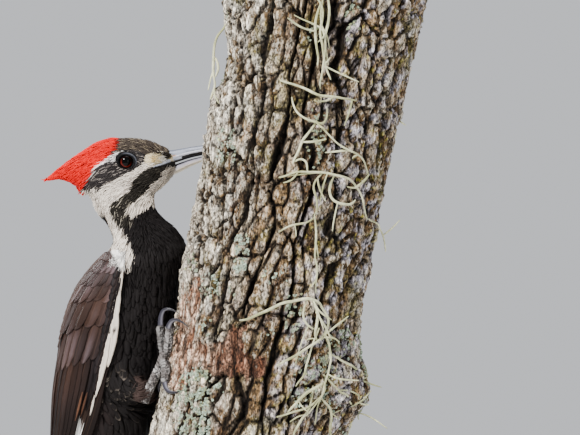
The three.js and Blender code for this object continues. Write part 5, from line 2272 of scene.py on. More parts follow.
class Trunk:
    """The cut length of trunk, with its bark in relief."""

    FOOT, TOP, RADIUS = 44, 531, 58
    NEAR = 61.0  # a radius just off the bark
    # The directions of its left outline and of its calmest bark, in degrees from -X to -Y.
    LEFT, LEFT_WIDE, CALM = 6, 26, 165
    # How tall the bark's plates, blocks and chips are, and how many go round.
    PLATES, BLOCKS, CHIPS = (50, 19), (15, 38), (6.5, 104)
    LUMPS = (
        Lump(262, 176, 15, 22, 30),
        Lump(470, 0, -4.5, 19, 40),
        Lump(520, 90, 3.5, 60, 170),
        Lump(300, 28, -2.2, 24, 20),
        Lump(120, 240, 5, 50, 60),
        Lump(90, 60, 3, 40, 50),
    )
    WAIST, REACH, FLARE = 360, 200, 2.2
    ROUND, TALL = 372, 258
    FLAKED = (
        (-44.7, 333.3), (-40.3, 332.7), (-39.8, 321.4), (-41.9, 309.5), (-41.9, 298.8), (-40.3, 290.7),
        (-31.1, 290.7), (-24.7, 293.4), (-16.6, 301.5), (-11.8, 302), (-12.3, 285.3), (-6.9, 282.6),
        (2.3, 282.1), (2.8, 271.8), (-5.3, 267.5), (-9.6, 266.4), (-15, 270.7), (-25.8, 270.2),
        (-35.5, 271.8), (-41.9, 274.5), (-47.3, 267.5), (-53, 258), (-60, 262), (-60, 282), (-56, 304),
        (-52, 320),
    )
    # How far the bark's left outline stands out or in, by height.
    OUTLINE = (
        (44, 0), (200, 0), (229, 3), (252, 2.4), (282, 0.4), (301, 0.8), (318, 1.6), (329, 4), (350, 2.2),
        (372, 1.7), (392, 1), (414, 3), (430, 3.2), (442, 2.6), (452, -2.8), (482, 2), (512, 4), (531, 3),
    )
    CLEARED = 0.9  # how far the bark keeps under the toes and claws

    def radius(self, height: Array, degrees: Array) -> Array:
        """The trunk's radius without its bark's relief.

        Args:
            height: Heights along the axis.
            degrees: Directions, round from -X to -Y.

        Returns:
            Radii.
        """
        flare = self.FLARE * np.abs((height - self.WAIST) / self.REACH) ** 1.5
        total = self.RADIUS + flare
        for lump in self.LUMPS:
            apart = way_round(degrees, lump.degrees)
            gap = ((height - lump.height) / lump.up) ** 2
            total = total + lump.rise * np.exp(-gap - (apart / lump.wide) ** 2)
        return total

    def at(self, height: Array, degrees: Array, radius: Array) -> Array:
        """Places points round the trunk's axis.

        Args:
            height: Heights along the axis.
            degrees: Directions, round from -X to -Y.
            radius: Distances from the axis.

        Returns:
            Points.
        """
        angle = np.radians(degrees)
        share = (height - self.FOOT) / (self.TOP - self.FOOT)
        rise = STANCE.lean * np.cos(angle) * share
        out = np.stack([-np.cos(angle), -np.sin(angle), rise], axis=-1)
        return STANCE.axis(height) + out * radius[..., None]

    @staticmethod
    def plates(spot: Array, tall: float, count: int, shake: tuple[float, float], seed: int) -> tuple:
        """Splits the bark into plates that repeat round the trunk; the main ones are the solid's too.

        Args:
            spot: Places round the trunk, from 0 to count, and up it, in plates.
            tall: How tall a plate is.
            count: How many plates go round.
            shake: How far the plates' middles stray from a lattice.
            seed: Chooses the pattern.

        Returns:
            The distance to the plate's edge in millimetres, how upright that edge is, the plate's own number,
            and the place from the plate's middle, across and up.
        """
        wide = 2 * np.pi * Trunk.RADIUS / count
        base = np.floor(spot)
        first = np.full(spot.shape[:-1], 9.0)
        second = first.copy()
        near = np.zeros(spot.shape)
        other = near.copy()
        own = first * 0
        for du in (-1, 0, 1):
            for dv in (-2, -1, 0, 1, 2):
                cell = base + (du, dv)
                key = np.stack([cell[..., 0] % count, cell[..., 1]], axis=-1)
                stray = np.stack([lattice(key, seed), lattice(key, seed + 1)], axis=-1) - 0.5
                centre = cell + 0.5 + stray * shake
                gap = np.linalg.norm(spot - centre, axis=-1)
                closer, nearer = gap < first, (gap < second) & (gap >= first)
                other = np.where(closer[..., None], near, np.where(nearer[..., None], centre, other))
                second = np.where(closer, first, np.where(nearer, gap, second))
                near = np.where(closer[..., None], centre, near)
                own = np.where(closer, lattice(key, seed + 2), own)
                first = np.where(closer, gap, first)
        across = unit(other - near)
        slope = across / (wide, tall)
        steep = np.linalg.norm(slope, axis=-1)
        edge = (((other + near) / 2 - spot) * across).sum(axis=-1) / steep
        return edge, np.abs(slope[..., 0]) / steep, own, spot - near

    def relief(self, height: Array, degrees: Array, smooth: Array) -> tuple[Array, Array, Array, Array]:
        """Finds the bark's relief.

        Args:
            height: Heights along the axis.
            degrees: Directions.
            smooth: The points without relief.

        Returns:
            How far the bark stands out, how deep in a fissure it is from 0 to 1, the plate's number, and how
            flaked it is.
        """
        around = degrees / 360
        bend = drift(smooth * (1, 1, 0.5), 16, 91, 2)
        sway = drift(smooth * (1, 1, 0.35), 42, 94, 2)
        fret = drift(smooth * (1, 1, 0.6), 5, 97, 2)
        tall, count = self.PLATES
        spot = np.stack([around * count + 0.2 * bend + 0.4 * sway, (height + 5 * bend) / tall], axis=-1)
        spot += fret[..., None] * (0.045, 0.02)
        edge, upright, own, aside = self.plates(spot, tall, count, (0.45, 0.85), 5)
        calm = 0.55 + 0.45 * fade(np.abs(way_round(degrees, self.CALM)), 15, 55)
        vary = (0.5 + 0.5 * drift(smooth, 34, 55)) * calm
        width = (0.5 + 1.3 * upright) * (0.55 + 0.8 * vary)
        fissure = 1 - fade(edge, 0.1 * width, 1.25 * width)
        shoulder = np.exp(-edge / 2.2)
        deep = (1.5 + 3.4 * upright) * (0.55 + 0.75 * vary)
        # Each plate breaks up into blocks, and each block into chips.
        tall, count = self.BLOCKS
        spot = np.stack([around * count + 0.3 * bend + 0.7 * sway, (height + 6 * bend) / tall], axis=-1)
        spot += fret[..., None] * (0.12, 0.08)
        cleft, steep, block, lean = self.plates(spot, tall, count, (0.8, 0.8), 35)
        width = 0.4 + 0.75 * steep
        crack = (1 - fade(cleft, 0.1, 1.7 * width)) * fade(drift(smooth, 13, 58, 2), -1.0, -0.2)
        tall, count = self.CHIPS
        spot = np.stack([around * count + 0.8 * bend, (height + 2 * bend) / tall], axis=-1)
        spot += fret[..., None] * 0.3
        chip, _, flake, _ = self.plates(spot, tall, count, (0.9, 0.9), 65)
        flaked = fade(self.flaked(smooth) + 3.0 * drift(smooth, 5, 15, 2), -0.8, 0.8)
        plate = 1.3 * (own - 0.5) + 2.2 * aside[..., 0] * (own - 0.4) - 1.4 * shoulder
        plate += 1.9 * (block - 0.5) + 1.8 * lean[..., 0] * (block - 0.5) + 1.2 * lean[..., 1] * (flake - 0.3)
        plate += 1.1 * (flake - 0.5) - 0.8 * (1 - fade(chip, 0.05, 0.6)) - 2.3 * crack
        plate -= 0.8 * np.exp(-cleft / 1.2)
        split = fade(drift(smooth * (1, 1, 0.12), 3.6, 73), 0.5, 0.8)
        fibre = 1.5 * drift(smooth * (1, 1, 0.14), 2.2, 71, 2) - 1.6 * split
        whole = plate * (1 - 0.85 * flaked) + flaked * (fibre - 2.0)
        rise = whole - fissure * deep * (1 - 0.7 * flaked)
        rise += 0.6 * drift(smooth, 4.2, 19, 2) + 0.5 * drift(smooth, 1.9, 21)
        left = bell(way_round(degrees, self.LEFT), 0, self.LEFT_WIDE)
        rows = np.array(self.OUTLINE, float)
        rise += left * np.interp(height, rows[:, 0], rows[:, 1])
        dark = np.clip(fissure + 0.85 * crack * (1 - flaked), 0, 1)
        return rise + 0.8, dark, 0.45 * own + 0.55 * block, flaked

    def cleared(self, height: Array, degrees: Array, radius: Array) -> Array:
        """Keeps the bark under the toes and claws that hold on to it.

        Args:
            height: Heights along the axis.
            degrees: Directions.
            radius: The bark's distance from the axis.

        Returns:
            The distance, no more than what clears them.
        """
        for side in Side:
            leg = Leg(side)
            for thick, lines in ((2.3, Leg.BONES), (1.3, Leg.CLAWS.values())):
                for line in lines:
                    held = along_table(leg.on_side(line), np.linspace(0, 0.86, 10))
                    middle = STANCE.axis(held[:, 2])
                    arm = held - middle
                    turn = np.degrees(np.arctan2(-arm[:, 1], -arm[:, 0]))
                    for (_, _, z), reach, angle in zip(held, np.linalg.norm(arm[:, :2], axis=1), turn):
                        apart = np.radians(way_round(degrees, angle)) * reach
                        gap = np.hypot(height - z, apart)
                        limit = reach - thick - self.CLEARED + 0.75 * np.maximum(gap - 1.2, 0)
                        radius = np.where(gap < 9, np.minimum(radius, limit), radius)
        return radius

    def flaked(self, points: Array) -> Array:
        """Tells where the outer bark has flaked off, on the camera's side.

        Args:
            points: Points of the trunk.

        Returns:
            Signed distances, positive where it is off.
        """
        flat = points[..., [0, 2]].reshape(-1, 2)
        best = inside(self.FLAKED, flat).reshape(points.shape[:-1])
        return np.where(points[..., 1] < 0, best, -20)

    def bark(self) -> tuple[Form, Array]:
        """Makes the bark.

        Returns:
            The bark with its colours, and the rings of its points.
        """
        # The rings' corners stand closer together on the camera's side.
        even = np.linspace(0, 1, self.ROUND, endpoint=False)
        degrees = 360 * even + 22 * np.sin(2 * np.pi * even + np.pi / 2) - 22
        degrees = (degrees % 360)[None] + np.zeros((self.TALL, 1))
        height = np.linspace(self.FOOT, self.TOP, self.TALL)[:, None] + 0 * degrees
        radius = self.radius(height, degrees)
        smooth = self.at(height, degrees, radius)
        rise, crack, own, flaked = self.relief(height, degrees, smooth)
        calm = fade(height, self.FOOT, self.FOOT + 3) * fade(height, self.TOP, self.TOP - 3)
        radius = self.cleared(height, degrees, radius + rise - 1.2 * (1 - calm))
        points = self.at(height, degrees, radius)
        colour = self.colours(points, rise, crack, own, flaked)
        level = np.clip(0.5 + rise / 6 - 0.4 * crack, 0, 1)
        values = {"marking": colour, "height": level}
        ends = STANCE.axis(np.array([self.FOOT, self.TOP]))
        return turned_out(tube(points, ends[0], ends[1], values)), points

    @staticmethod
    def colours(points: Array, rise: Array, crack: Array, own: Array, flaked: Array) -> Array:
        """Colours the bark, with painted light: paler on its raised plates and its left side, darker in its
        fissures, its sunken places and the pits on its left.

        Args:
            points: Its points.
            rise: How far they stand out.
            crack: How deep in a fissure they are.
            own: The number of their plate.
            flaked: How flaked they are.

        Returns:
            Linear colours.
        """

        def blend(colour: Array, other: Array, share: Array) -> Array:
            """Mix two sets of colours by a share for each point."""
            return mixed(colour, other, share[..., None])

        tall = points * (1, 1, 0.45)
        aside = points[..., 0] - STANCE.axis(points[..., 2])[..., 0]
        left = np.where(points[..., 1] < 20, fade(-aside, 12, 44), 0.25)
        right = np.where(points[..., 1] < 20, fade(aside, -8, 28), 0.5)
        colour = blend(tone(104, 80, 52), tone(150, 122, 86), own)
        colour = blend(colour, tone(84, 60, 40), 0.7 * fade(drift(tall, 11, 45, 3), 0.1, 0.6))
        # Pale bark, paler on the left side that faces the key lamp: real pale bark with a painted highlight
        # over it.
        colour = blend(
            colour, tone(238, 224, 198), (0.2 + 0.7 * left) * fade(drift(tall, 6, 44, 3), -0.1, 0.3),
        )
        colour = blend(
            colour, tone(202, 196, 206), (0.1 + 0.8 * right) * fade(drift(points, 5, 46, 3), 0.05, 0.45),
        )
        colour = blend(colour, tone(112, 108, 56), 0.6 * fade(drift(points, 15, 47, 3), 0.2, 0.7))
        colour = blend(
            colour, tone(186, 174, 72), (0.25 + 0.6 * right) * fade(drift(points, 2.6, 48, 2), 0.62, 0.85),
        )
        # Paler on the raised plates: a painted highlight.
        colour = blend(colour, tone(236, 226, 208), 0.5 * fade(rise, 0.9, 2.4))
        # Paler still on the left: a painted highlight.
        colour = blend(colour, tone(246, 240, 226), 0.6 * left * fade(drift(tall, 3.2, 64, 2), 0.0, 0.5))
        # Dark spots on the left for its pits: painted shade.
        colour = blend(
            colour, tone(44, 32, 21), 0.85 * left * fade(drift(points * (1, 1, 0.5), 2.4, 63, 2), 0.25, 0.55),
        )
        colour = blend(
            colour, tone(66, 50, 34),
            (0.5 + 0.35 * left) * fade(drift(points * (1, 1, 0.5), 3.4, 62, 3), 0.1, 0.5),
        )
        streak = drift(points * (1, 1, 0.13), 1.9, 49, 2)
        raw = blend(tone(112, 72, 50), tone(212, 176, 150), fade(streak, -0.5, 0.5))
        raw = blend(raw, tone(240, 222, 202), 0.8 * fade(streak, 0.35, 0.8) * fade(-aside, 20, 40))
        raw = blend(raw, tone(92, 54, 38), 0.85 * fade(aside, -38, -20))
        wear_and_highlight = 0.5 * fade(aside, -38, -20) * fade(drift(points, 4.5, 76, 2), 0.1, 0.6)
        raw = blend(raw, tone(170, 126, 102), wear_and_highlight)
        raw = blend(raw, tone(50, 26, 16), fade(drift(points * (1, 1, 0.12), 3.6, 73), 0.3, 0.65))
        colour = blend(colour, raw, 0.95 * flaked)
        # Darker in the fissures: painted shade.
        colour = blend(colour, tone(26, 18, 12), np.clip(1.2 * crack, 0, 1) * (1 - 0.5 * flaked))
        # Darker still in the sunken places: painted shade.
        low = fade(rise, -0.4, -3.2)
        return np.clip(blend(colour, tone(24, 17, 11), 0.85 * low * (1 - 0.7 * flaked)), 0, 1)

    def cuts(self, rings: Array) -> Form:
        """Makes the sawn faces at both ends.

        Args:
            rings: The rings of the bark's points.

        Returns:
            Two thin lids, joined.
        """
        lids = []
        for ring, height, way in ((rings[0], self.FOOT, -1), (rings[-1], self.TOP, 1)):
            centre = STANCE.axis(np.array(height))
            up = UP if way < 0 else STANCE.up
            arm = ring - centre
            arm = arm - up * dot(arm, up)
            reach = np.linalg.norm(arm, axis=1)
            even = np.convolve(np.concatenate([reach[-12:], reach, reach[:12]]), np.ones(25) / 25, "valid")
            arm = unit(arm) * np.minimum(even, reach)[:, None]
            levels = (
                (0.2, -1.0), (0.93, -1.0), (0.955, -0.2), (0.952, 0.35), (0.9, 0.5), (0.5, 0.5), (0.2, 0.5),
            )
            shape = [centre + arm * share + up * way * lift for share, lift in levels]
            lids.append(turned_out(tube(np.stack(shape), centre - up * way, centre + up * way * 0.5)))
        return Form.joined(lids)

    def make(self) -> tuple[list[bpy.types.Object], "Surface"]:
        """Makes the trunk.

        Returns:
            Its pieces, and the bark's surface.
        """
        form, rings = self.bark()
        fan = form.faces[1]
        quads = form.faces[0]
        triangles = np.concatenate([quads[:, [0, 1, 2]], quads[:, [0, 2, 3]], fan])
        surface = Surface(form.points, triangles)
        sawn = WoodFinish("sawn_wood", tone(150, 118, 82), tone(206, 178, 138), False, 0.0, 0.75).build()
        return [
            place(form.piece("trunk_bark", BarkFinish().build()), "bark", "perch_trunk"),
            place(self.cuts(rings).piece("trunk_sawn_ends", sawn, smooth=False), "bark"),
        ], surface


# ---------------------------------------------------------------- the stand


class Stand:
    """The display stand: a turned wooden base and two steel rods with collars."""

    RADIUS, THICK, BEVEL = 115, 14, 2
    ROD, ROD_TALL, SPREAD = 6, 30, 44

    @staticmethod
    def lathe(outline: Array, centre: tuple[float, float], sides: int) -> Form:
        """Turns an outline round an upright axis.

        Args:
            outline: Rows of radius and height, from the bottom up.
            centre: The axis's place.
            sides: How many corners a ring has.

        Returns:
            The closed form.
        """
        turn = circle(sides)
        outline = np.asarray(outline, float)
        rings = np.stack(
            [
                centre[0] + outline[:, :1] * np.cos(turn),
                centre[1] + outline[:, :1] * np.sin(turn),
                outline[:, 1:] + 0 * turn,
            ],
            axis=-1,
        )
        ends = [np.array([*centre, outline[k, 1]]) for k in (0, -1)]
        return turned_out(tube(rings, ends[0], ends[1]))

    def base(self) -> Form:
        """The base disc, with a small foot bevel and a moulded rim.

        Returns:
            Its form.
        """
        rim, thick = self.RADIUS, self.THICK
        bend = np.linspace(0, np.pi / 2, 7)
        outline = [(rim * 0.5, 0), (rim - 1.4, 0)]
        outline += [(rim - 1.0 + np.sin(a), 1.0 - np.cos(a)) for a in bend]
        outline += [(rim, thick - 7.2)]
        outline += [(rim - 0.9 * np.sin(a), thick - 6.2 - 0.9 * np.cos(a)) for a in bend]
        outline += [(rim - 0.9, thick - 5.2)]
        bevel = self.BEVEL
        outline += [(rim - 0.9 - bevel * (1 - np.cos(a)) * 1.5, thick - 3 * (1 - np.sin(a))) for a in bend]
        outline += [(rim * 0.6, thick), (rim * 0.25, thick)]
        return self.lathe(outline, (0, 0), 160)

    def rod(self, side: int) -> Form:
        """One rod, with a collar at its foot.

        Args:
            side: -1 on the right, 1 on the left.

        Returns:
            Its form.
        """
        low, high, r = self.THICK, self.THICK + self.ROD_TALL, self.ROD
        outline = [
            (2, low + 0.1), (r + 2.2, low + 0.1), (r + 2.6, low + 0.5), (r + 2.6, low + 2.6),
            (r + 2.2, low + 3),
            (r + 0.3, low + 3.2), (r, low + 3.6), (r, low + 14), (r, high - 3.2), (r + 0.1, high - 2.9),
            (r + 1.6, high - 2.6), (r + 1.9, high - 2.2), (r + 1.9, high - 0.6), (r + 1.6, high - 0.3),
            (2, high - 0.3),
        ]
        axis = STANCE.axis(np.array(float(Trunk.FOOT)))
        return self.lathe(outline, (axis[0] + self.SPREAD / 2 * side, axis[1]), 56)

    def make(self) -> list[bpy.types.Object]:
        """Makes the stand.

        Returns:
            Its pieces.
        """
        wood = WoodFinish("stand_wood", tone(52, 34, 24), tone(98, 66, 44), True, 0.35, 0.4).build()
        steel = SteelFinish().build()
        pieces = [place(self.base().piece("stand_disc", wood), "stand_wood", "stand_base")]
        for side, name in ((-1, "stand_rod_right"), (1, "stand_rod_left")):
            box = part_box(name)
            middle = (box[0] + box[1]) / 2 / MM
            LOG.info("%s at %.1f %.1f", name, middle[0], middle[1])
            pieces.append(place(self.rod(side).piece(f"{name}_steel", steel), "stand_steel", name))
        return pieces


# ---------------------------------------------------------------- what grows on the trunk


class Lichens:
    """Patches of small ruffled lobes on the bark."""

    PATCHES = (  # the corners x, z of each patch on the camera's side, and how thickly it grows
        (-19, 359, -9.5, 336, 1.0),
        (1.5, 338, 14.5, 330, 0.9),
        (-54, 271, -34, 229, 0.9),
        (37, 297, 66, 245, 0.5),
        (53, 505, 60, 483, 0.9),
        (29, 492, 36, 483, 0.9),
        (-48, 349, -42, 336, 0.6),
        (-39.7, 334, -29.7, 320, 0.5),
        (-21.6, 325, -17, 321, 0.8),
        (-39.6, 306, -34.7, 293.6, 0.7),
        (-49.6, 274, -34.7, 252, 1.0),
        (-33, 266, -26, 261, 0.8),
        (4, 297.5, 9.5, 295.5, 0.8),
        (-28, 428, -18, 404, 0.6),
        (14, 322, 24, 296, 0.6),
        (30, 440, 40, 400, 0.25),
        (20, 282, 34, 250, 0.35),
    )
    SIDES = 7
    SPACING = 1.4
    LOOSE = 26  # further small patches, anywhere round the trunk
    HELD, CLEAR = (-62.0, -5, 283), 14  # where the feet hold on, and how far round it none grows

    def __init__(self, bark: "Surface") -> None:
        """Takes the surface that they grow on."""
        self.bark = bark
        self.random = np.random.default_rng(83)

    def near_side(self, x: Array, z: Array) -> Array:
        """Finds places on the trunk's side that faces the camera."""
        share = np.clip((STANCE.axis(z)[..., 0] - x) / (Trunk.RADIUS + 2), -0.985, 0.985)
        return np.stack([x, -np.sqrt(1 - share**2) * Trunk.NEAR, z], axis=-1)

    def seeds(self) -> Array:
        """Scatters the lobes.

        Returns:
            Places near the bark.
        """
        spots = []
        for x0, z0, x1, z1, thick in self.PATCHES:
            count = int(abs((x1 - x0) * (z1 - z0)) * thick / self.SPACING**2 * 2.2)
            u = self.random.uniform(-1.15, 1.15, (count, 2))
            keep = (u**4).sum(axis=1) < 1 + 0.5 * self.random.random(count)
            x = (x0 + x1) / 2 + u[keep, 0] * abs(x1 - x0) / 2
            z = (z0 + z1) / 2 + u[keep, 1] * abs(z0 - z1) / 2
            spots.append(self.near_side(x, z))
        trunk = Trunk()
        for _ in range(self.LOOSE):
            degrees, height = self.random.uniform(165, 375), self.random.uniform(70, 515)
            size = self.random.uniform(4, 13)
            count = int(size**2 * 0.95)
            spread = self.random.standard_normal((count, 2)) * size * (0.42, 0.6)
            round_ = degrees + np.degrees(spread[:, 0] / trunk.RADIUS)
            spots.append(trunk.at(height + spread[:, 1], round_, np.full(count, trunk.NEAR)))
        return np.concatenate(spots)

    def make(self, finish: bpy.types.Material) -> bpy.types.Object:
        """Makes the lobes.

        Args:
            finish: Their material.

        Returns:
            The piece.
        """
        near = self.seeds()
        spots, normals, _ = self.bark.nearest(near)
        patchy = drift(spots, 4.2, 12, 2)
        keep = (patchy > -0.25) & (normals @ UP > -0.7)
        keep &= np.linalg.norm(spots - np.array(self.HELD), axis=1) > self.CLEAR
        spots, normals = spots[keep], normals[keep]
        count, sides, random = len(spots), self.SIDES, self.random
        random_way = unit(random.standard_normal((count, 3)))
        ahead = unit(np.cross(normals, random_way))
        aside = np.cross(normals, ahead)
        turn = circle(sides)[None] + 0 * spots[:, :1]
        reach = random.uniform(0.35, 1.0, (count, 1)) * (1 + 0.4 * random.uniform(-1, 1, (count, sides)))
        lift = random.uniform(0.1, 1.3, (count, 1)) + 0.35 * random.uniform(-1, 1, (count, sides))
        ring = (
            spots[:, None]
            + ahead[:, None] * (np.cos(turn) * reach * 1.15)[..., None]
            + aside[:, None] * (np.sin(turn) * reach * 0.85)[..., None]
            + normals[:, None] * lift[..., None]
        )
        top = spots + normals * 0.3
        root = spots - normals * 0.5
        points = np.concatenate([ring, top[:, None], root[:, None]], axis=1)
        k = np.arange(sides)
        after = (k + 1) % sides
        faces = np.concatenate(
            [
                np.stack([k, after, np.full(sides, sides)], axis=1),
                np.stack([after, k, np.full(sides, sides + 1)], axis=1),
            ]
        )
        green, blue, straw = tone(160, 172, 146), tone(190, 206, 188), tone(202, 202, 150)
        mix = fade(drift(spots, 16, 34, 2), -0.7, 0.5)[:, None]
        colour = mixed(green, blue, mix)
        colour = mixed(colour, straw, (random.random((count, 1)) < 0.12) * 0.8)
        colour = colour * random.uniform(0.55, 1.15, (count, 1))
        # Each lobe is painted paler at its rim, darker at its middle and much darker underneath: painted
        # light and shade.
        tint = np.repeat(colour[:, None], sides + 2, axis=1)
        tint[:, :sides] = np.clip(tint[:, :sides] * 1.25, 0, 1)
        tint[:, sides] *= 0.75
        tint[:, sides + 1] *= 0.3
        faces = repeated([faces], count, sides + 2)
        form = Form(points.reshape(-1, 3), faces, {"marking": tint.reshape(-1, 3)})
        return place(turned_out(form).piece("lichen_lobes", finish, smooth=False), "bark")


class Moss:
    """Strands of pale hanging moss caught on the bark."""

    STRANDS = (  # points x, z of each strand on the camera's side
        ((-20.6, 495), (-30, 488), (-31.8, 476), (-31.8, 464), (-30.5, 457), (-33, 447)),
        ((-31, 474), (-28, 468), (-30, 462)),
        ((38.5, 512), (37, 497), (40, 480), (38, 466), (36, 452)),
        ((35, 512), (39, 500), (36.5, 486), (39.5, 470), (43, 458)),
        ((41, 512), (42.5, 498), (39, 482), (42, 468)),
        ((37, 506), (33.5, 494), (35, 480), (33, 468)),
        ((11.9, 458), (30, 452), (47, 447), (58.7, 445)),
        ((17, 446), (23, 436.6), (32, 431), (39.7, 430.8), (41, 440)),
        ((34.6, 431), (27.5, 420), (23, 412), (19.7, 404.8)),
        ((34.6, 431), (47, 418), (61.3, 408.7), (66, 397.6)),
        ((66, 397.6), (61, 391), (55, 389)),
        ((11.9, 395), (23, 399.5), (34.6, 400), (47, 397), (56.8, 393), (61.3, 382), (67, 369)),
        ((30, 400), (27, 406), (22, 408)),
        ((45, 397), (43, 388), (46, 381), (53, 378), (58, 382)),
        ((32.7, 372), (34.5, 360), (32.5, 347), (34, 335), (33.5, 322.8)),
        ((35, 399), (33, 388), (34, 379), (32.7, 372)),
        ((10, 362), (18, 366), (29, 367), (33, 370)),
        ((-14, 304.6), (-1, 308), (13, 315.7), (27.5, 319), (37.2, 314.4), (39.8, 309.8)),
        ((28, 318), (24, 310), (26, 303), (31, 300)),
        ((31, 317), (35, 308), (32, 299), (35, 290)),
        ((36, 314), (41, 303), (37, 292)),
        ((8.6, 276.7), (21, 284), (31.4, 289), (41.8, 301.4)),
        ((9.9, 243), (20, 247), (28.8, 250.7), (36, 258), (40, 266)),
        ((67, 369), (77, 362), (79.5, 349)),
        ((36, 300), (30, 286), (26, 272), (22, 262)),
        ((39, 296), (42, 282), (38, 268), (34, 254), (32, 238)),
        ((41, 284), (50, 277), (57, 270), (63, 262)),
        ((38, 270), (47, 258), (52, 244)),
        ((40, 266), (30, 262), (21, 254), (16, 246)),
        ((35, 256), (41, 246), (40, 232), (44, 222)),
        ((30, 250), (22, 240), (18, 230)),
        ((44, 262), (56, 254), (62, 240)),
    )
    SIDES = 6
    THICK = 0.86
    LOOSE = 16  # further strands, anywhere round the trunk
    BRANCH = 24  # how much of a strand there is for each shoot off it

    def __init__(self, lichens: Lichens) -> None:
        """Takes the bark from the lichens' builder.

        Args:
            lichens: It knows the bark's near side.
        """
        self.near_side = lichens.near_side
        self.bark = lichens.bark
        self.random = np.random.default_rng(97)

    @staticmethod
    def relaxed(line: Array, rounds: int) -> Array:
        """Rounds off a line's corners.

        Args:
            line: Its points.
            rounds: How many times each point moves toward its neighbours.

        Returns:
            The smoother line, with the same ends.
        """
        for _ in range(rounds):
            line = np.concatenate([line[:1], (line[:-2] + 2 * line[1:-1] + line[2:]) / 4, line[-1:]])
        return line

    def strand(self, points: Array, thick: float) -> Form:
        """Makes one strand.

        Args:
            points: Points that it passes through.
            thick: Its radius in the middle.

        Returns:
            The closed, tapered form.
        """
        length = np.linalg.norm(np.diff(points, axis=0), axis=1).sum()
        steps = int(np.clip(length / 1.6, 8, 60))
        t = np.linspace(0, 1, steps)
        line = self.relaxed(along_table(points, t), 7)
        spots, normals, _ = self.bark.nearest(line)
        sunk = np.clip(0.9 - dot(line - spots, normals), 0, 3)
        line = self.relaxed(line + unit(line - STANCE.axis(line[:, 2])) * sunk, 3)
        line = line + 0.4 * np.stack([drift(line, 11, seed) for seed in (3, 4, 5)], axis=1)
        ahead = unit(np.gradient(line, axis=0))
        side = unit(np.cross(ahead, np.array([0.31, 0.9, 0.2])))
        up = np.cross(ahead, side)
        turn = circle(self.SIDES)
        radius = thick * (0.35 + 0.65 * np.sin(np.pi * np.clip(0.12 + 0.84 * t, 0, 1)) ** 0.6)
        radius = radius * (1 + 0.14 * drift(line, 4, 6))
        rings = line[:, None] + radius[:, None, None] * (
            side[:, None] * np.cos(turn)[:, None] + up[:, None] * np.sin(turn)[:, None]
        )
        pale, dusk = tone(226, 224, 184), tone(168, 168, 122)
        shade = fade(drift(rings, 9, 9, 2), -0.8, 0.8)[..., None]
        colour = mixed(dusk, pale, shade)
        ends = [line[0] - ahead[0] * radius[0], line[-1] + ahead[-1] * radius[-1] * 2]
        return turned_out(tube(rings, ends[0], ends[1], {"marking": colour}))

    def off_bark(self, points: Array, rise: Array) -> Array:
        """Keeps points a little off the bark."""
        spots, _, _ = self.bark.nearest(points)
        return spots + unit(points - STANCE.axis(points[:, 2])) * rise[:, None]

    def make(self, finish: bpy.types.Material) -> bpy.types.Object:
        """Makes the strands.

        Args:
            finish: Their material.

        Returns:
            The piece.
        """
        random, forms = self.random, []
        lines = []
        for rows in self.STRANDS:
            table = np.array(rows, float)
            spread = along_table(table, np.linspace(0, 1, 3 * len(table)))
            near = self.near_side(spread[:, 0], spread[:, 1])
            free = np.abs(spread[:, 0] - STANCE.axis(spread[:, 1])[:, 0]) > Trunk.RADIUS
            rise = 1.4 + 1.8 * random.random(len(near)) + 2.2 * np.sin(np.linspace(0, np.pi, len(near)))
            held = self.off_bark(near, rise)
            held[:, [0, 2]] = np.where(free[:, None], spread, held[:, [0, 2]])
            lines.append(held)
        trunk = Trunk()
        for _ in range(self.LOOSE):
            degrees, height = random.uniform(185, 330), random.uniform(180, 500)
            run = random.uniform(25, 60)
            t = np.linspace(0, 1, 7)
            round_ = degrees + 14 * np.cumsum(random.standard_normal(7)) * 0.35
            spots = trunk.at(height - run * t, round_, np.full(7, trunk.NEAR))
            lines.append(self.off_bark(spots, 1.2 + 2.5 * random.random(7)))
        for line in lines:
            forms.append(self.strand(line, self.THICK * random.uniform(0.7, 1.1)))
            length = np.linalg.norm(np.diff(line, axis=0), axis=1).sum()
            for _ in range(int(length / self.BRANCH)):
                at = random.uniform(0.1, 0.9)
                root = along_table(line, np.array([at]))[0]
                away = unit(
                    np.array([random.uniform(-1, 1), random.uniform(-0.5, 0.1), random.uniform(-1, 0.4)])
                )
                run = random.uniform(8, 18)
                curl = unit(random.standard_normal(3))
                t = np.linspace(0, 1, 5)[:, None]
                shoot = root + away * run * t + curl * run * 0.6 * t**2
                spots, normals, _ = self.bark.nearest(shoot)
                depth = dot(shoot - spots, normals)
                shoot = shoot + normals * np.clip(0.8 - depth, 0, 8)
                forms.append(self.strand(shoot, self.THICK * random.uniform(0.5, 0.8)))
        return place(Form.joined(forms).piece("hanging_moss", finish), "bark")


# ---------------------------------------------------------------- materials


class Value:
    """A socket of a material's nodes; Python's operators on it add Math nodes."""

    def __init__(self, board: "Board", socket: bpy.types.NodeSocket) -> None:
        """Wraps a socket."""
        self.board = board
        self.socket = socket

    def __add__(self, other: "Value | float") -> "Value":
        """Adds."""
        return self.board.math("ADD", self, other)

    def __radd__(self, other: float) -> "Value":
        """Adds, with the number first."""
        return self.board.math("ADD", other, self)

    def __sub__(self, other: "Value | float") -> "Value":
        """Subtracts."""
        return self.board.math("SUBTRACT", self, other)

    def __mul__(self, other: "Value | float") -> "Value":
        """Multiplies."""
        return self.board.math("MULTIPLY", self, other)

    def __rmul__(self, other: float) -> "Value":
        """Multiplies, with the number first."""
        return self.board.math("MULTIPLY", other, self)

    def __pow__(self, other: float) -> "Value":
        """Raises to a power."""
        return self.board.math("POWER", self, other)


